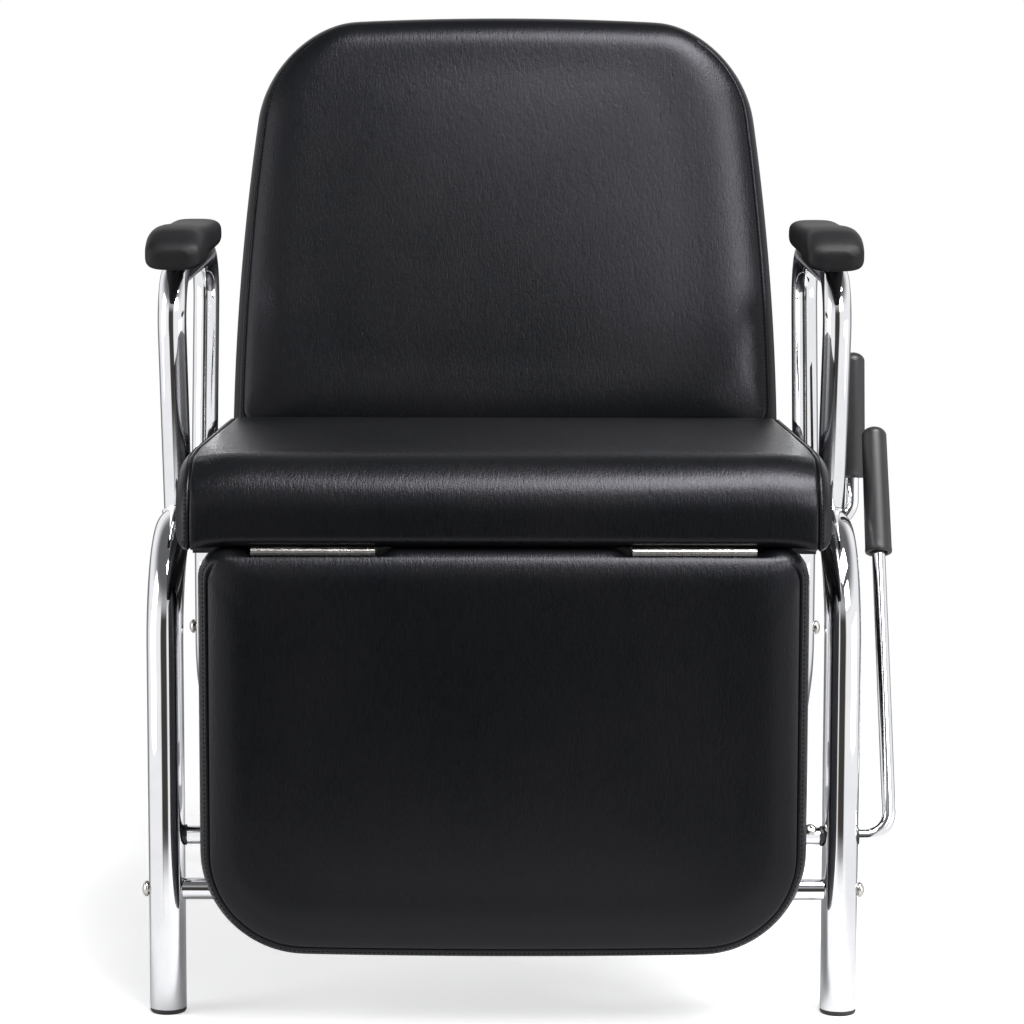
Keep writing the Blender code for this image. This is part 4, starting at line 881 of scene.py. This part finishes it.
# ---------------------------------------------------------------------------------------------------
# Butt hinges: nickel-plated steel, two leaves rolled round a pin, let in between the seat and the
# legrest at either side. The solids are right as they are and take their plating.

for hand, _ in HANDS:
    dressed(nickel, f"hinge_leaf_seat_{hand}", f"hinge_leaf_legrest_{hand}", f"hinge_pin_{hand}")

# ---------------------------------------------------------------------------------------------------
# Legrest: a foam panel on plywood in black vinyl, square at the top under the seat's roll and rounded
# at its lower corners. Its boxed sides and lower edge are sewn on and top-stitched; the top is wrapped.

HINGE = Vector((0, -0.076, 0.4169))
LEGREST_BASE, LEGREST_TOP = 0.0715, 0.0034
KNUCKLE_TOP, KNUCKLE_FRONT, KNUCKLE_ROOM = -0.0042, -0.0045, 0.006
pin = [(corner - home).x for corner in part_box("hinge_pin_left")]


def under_seat(x, y):
    """The legrest's top: close under the seat, and let in below the hinges' knuckles."""
    beside = pin[0] - KNUCKLE_ROOM < abs(x) < pin[1] + KNUCKLE_ROOM
    return KNUCKLE_TOP if beside and y > KNUCKLE_FRONT else LEGREST_TOP


def legrest_roll(x, z):
    """The roll's width and depth: narrower and deeper along the top."""
    upper = eased(z, 0.3, 0.9)
    return 0.042 - 0.007 * upper, 0.027 + 0.001 * upper


legrest_edge = panel_edge(half=0.259, low=LEGREST_BASE - HINGE.z, high=0.0040, corners=(0.088, 0.026),
                          taper=0.0, arches=(0.004, 0.0008))
form, row, held = boxed_cushion(legrest_edge, rear=0.0580, front=-0.0185, crown=0.0010, roll=legrest_roll,
                                seam=0.0082, stitched=0.0050, sewn=lambda x, z: 1 - eased(z, 0.45, 0.85),
                                ceiling=under_seat)
form = [HINGE + Vector(place) for place in form[0]], form[1]
legrest = shown("legrest_cover", form, vinyl, "black_vinyl", "legrest", "legrest_cushion",
                "legrest_board")
swollen(legrest, held, limit=0.002)
smoothed(legrest)
for number, run in enumerate(sewn_runs(row)):
    stitch_row(f"legrest_stitches_{number}", legrest, [HINGE + Vector(place) for place in run], "legrest")

# ---------------------------------------------------------------------------------------------------
# Legrest lever: a chromed rod through both front legs, bent up on the sitter's left into a handle. A
# sleeve is clamped on its cross run by a button-head screw, and nylon bushes carry it in the legs.

satin = Finish(bpy.data.materials.new("satin_rubber"), Specular_IOR_Level=0.42)
cloud = satin.noise(60.0, 3.0)
satin.feed("Base Color", satin.blend(cloud, (0.011, 0.011, 0.012), (0.018, 0.0175, 0.019)))
satin.feed("Roughness", 0.35 + 0.10 * cloud)
satin.bump(satin.noise(900.0, 2.0), 0.0002, 0.35)

LEVER_X, LEVER_Z, ROD_RADIUS, ROD_BEND, ROD_INSIDE = 0.338, 0.158, 0.006, 0.022, 0.010
GRIP_LENGTH, GRIP_RADIUS, GRIP_DOME = 0.122, 0.0113, 0.0085
GRIP_BORE = [(0.0062, 0.1080), (0.0063, 0.0060), (0.0072, 0.0052), (0.0078, 0.0012), (0.0086, 0.0002)]
GRIP_LIP = [(0.0108, 0.0), (0.0119, 0.0006), (0.01225, 0.0020), (0.0122, 0.0040), (0.0120, 0.0052)]
GRIP_WALL = [(0.0120, 0.010), (0.0118, 0.040), (0.0115, 0.080)]


def lever(kind, start, y, z, lean, length):
    """A bent rod with its cross run along X and its leaning upright, and the slim moulded grip on it."""
    up = Vector((0, sin(lean), cos(lean)))
    corner = Vector((LEVER_X, y, z))
    path = route([(start, y, z), corner, corner + up * (length - ROD_INSIDE)], (ROD_BEND,))
    shown(f"rod_{kind}", skin(swept(path, ROD_RADIUS, sides=32)), chrome, "chrome_tube", kind, kind)
    end = dome(GRIP_RADIUS, GRIP_LENGTH - GRIP_DOME, GRIP_DOME)
    foot = corner + up * (length - GRIP_LENGTH)
    grip = turned(GRIP_BORE + GRIP_LIP + GRIP_WALL + end, foot, up, sides=44)
    shown(f"grip_{kind}", grip, satin, "black_rubber", kind, f"{kind}_grip")


lever("legrest_lever", start=-LEG_X - 0.004, y=0, z=LEVER_Z, lean=radians(27), length=0.385)

SLEEVE_HALF, SLEEVE_RADIUS = 0.2764, 0.0080
sleeve_end = [(SLEEVE_RADIUS, SLEEVE_HALF - 0.0003), (0.0078, SLEEVE_HALF), (0.0066, SLEEVE_HALF)]
profile = [(radius, -high) for radius, high in reversed(sleeve_end)] + [(SLEEVE_RADIUS, 0)] + sleeve_end
sleeve = turned(profile, (0, 0, LEVER_Z), (1, 0, 0))
shown("sleeve_legrest_lever", sleeve, chrome, "chrome_tube", "legrest_lever", "legrest_lever_sleeve")

SCREW_X, SCREW_TURN = 0.268, radians(50)
button = [(0.0025, 0.0070), (0.0053, 0.0082), (0.0055, 0.0088), (0.0054, 0.0098), (0.0047, 0.0110),
          (0.0034, 0.0118)]
socket = [(0.0019, 0.0118), (0.0018, 0.0100), (TIP, 0.0100)]
screw = turned(button + socket, (SCREW_X, 0, LEVER_Z), (0, -cos(SCREW_TURN), sin(SCREW_TURN)), sides=36)
shown("screw_legrest_sleeve", screw, nickel, "nickel", "legrest_lever", "legrest_sleeve_screw")

nylon = Finish(bpy.data.materials.new("black_nylon"), Specular_IOR_Level=0.4)
turning = nylon.noise(400.0, 2.0, 0.5, nylon.place(6.0, 1.0, 1.0))
nylon.feed("Base Color", nylon.blend(nylon.noise(80.0, 3.0), (0.014, 0.014, 0.015), (0.030, 0.030, 0.032)))
nylon.feed("Roughness", 0.38 + 0.16 * turning)
nylon.bump(turning, 0.0001, 0.4)
dressed(nylon, "lever_bush_right", "lever_bush_left")
for hand, _ in HANDS:
    dressed(zinc, f"legrest_crank_{hand}", f"legrest_link_{hand}", f"legrest_bracket_{hand}")

# ---------------------------------------------------------------------------------------------------
# Recline lever and rod lock: a second bent rod turns in two lugs on the seat rails. A finger on it
# presses the plunger of the lock, which grips the sliding rod that holds the back.

lever("recline_lever", start=-0.206, y=0.350, z=0.393, lean=radians(6), length=0.165)
dressed(zinc, "shaft_lug_right", "shaft_lug_left", "lock_plate", "release_finger")
dressed(enamel, "lock_head")
dressed(nickel, "lock_plunger")
dressed(chrome, "lock_rod")
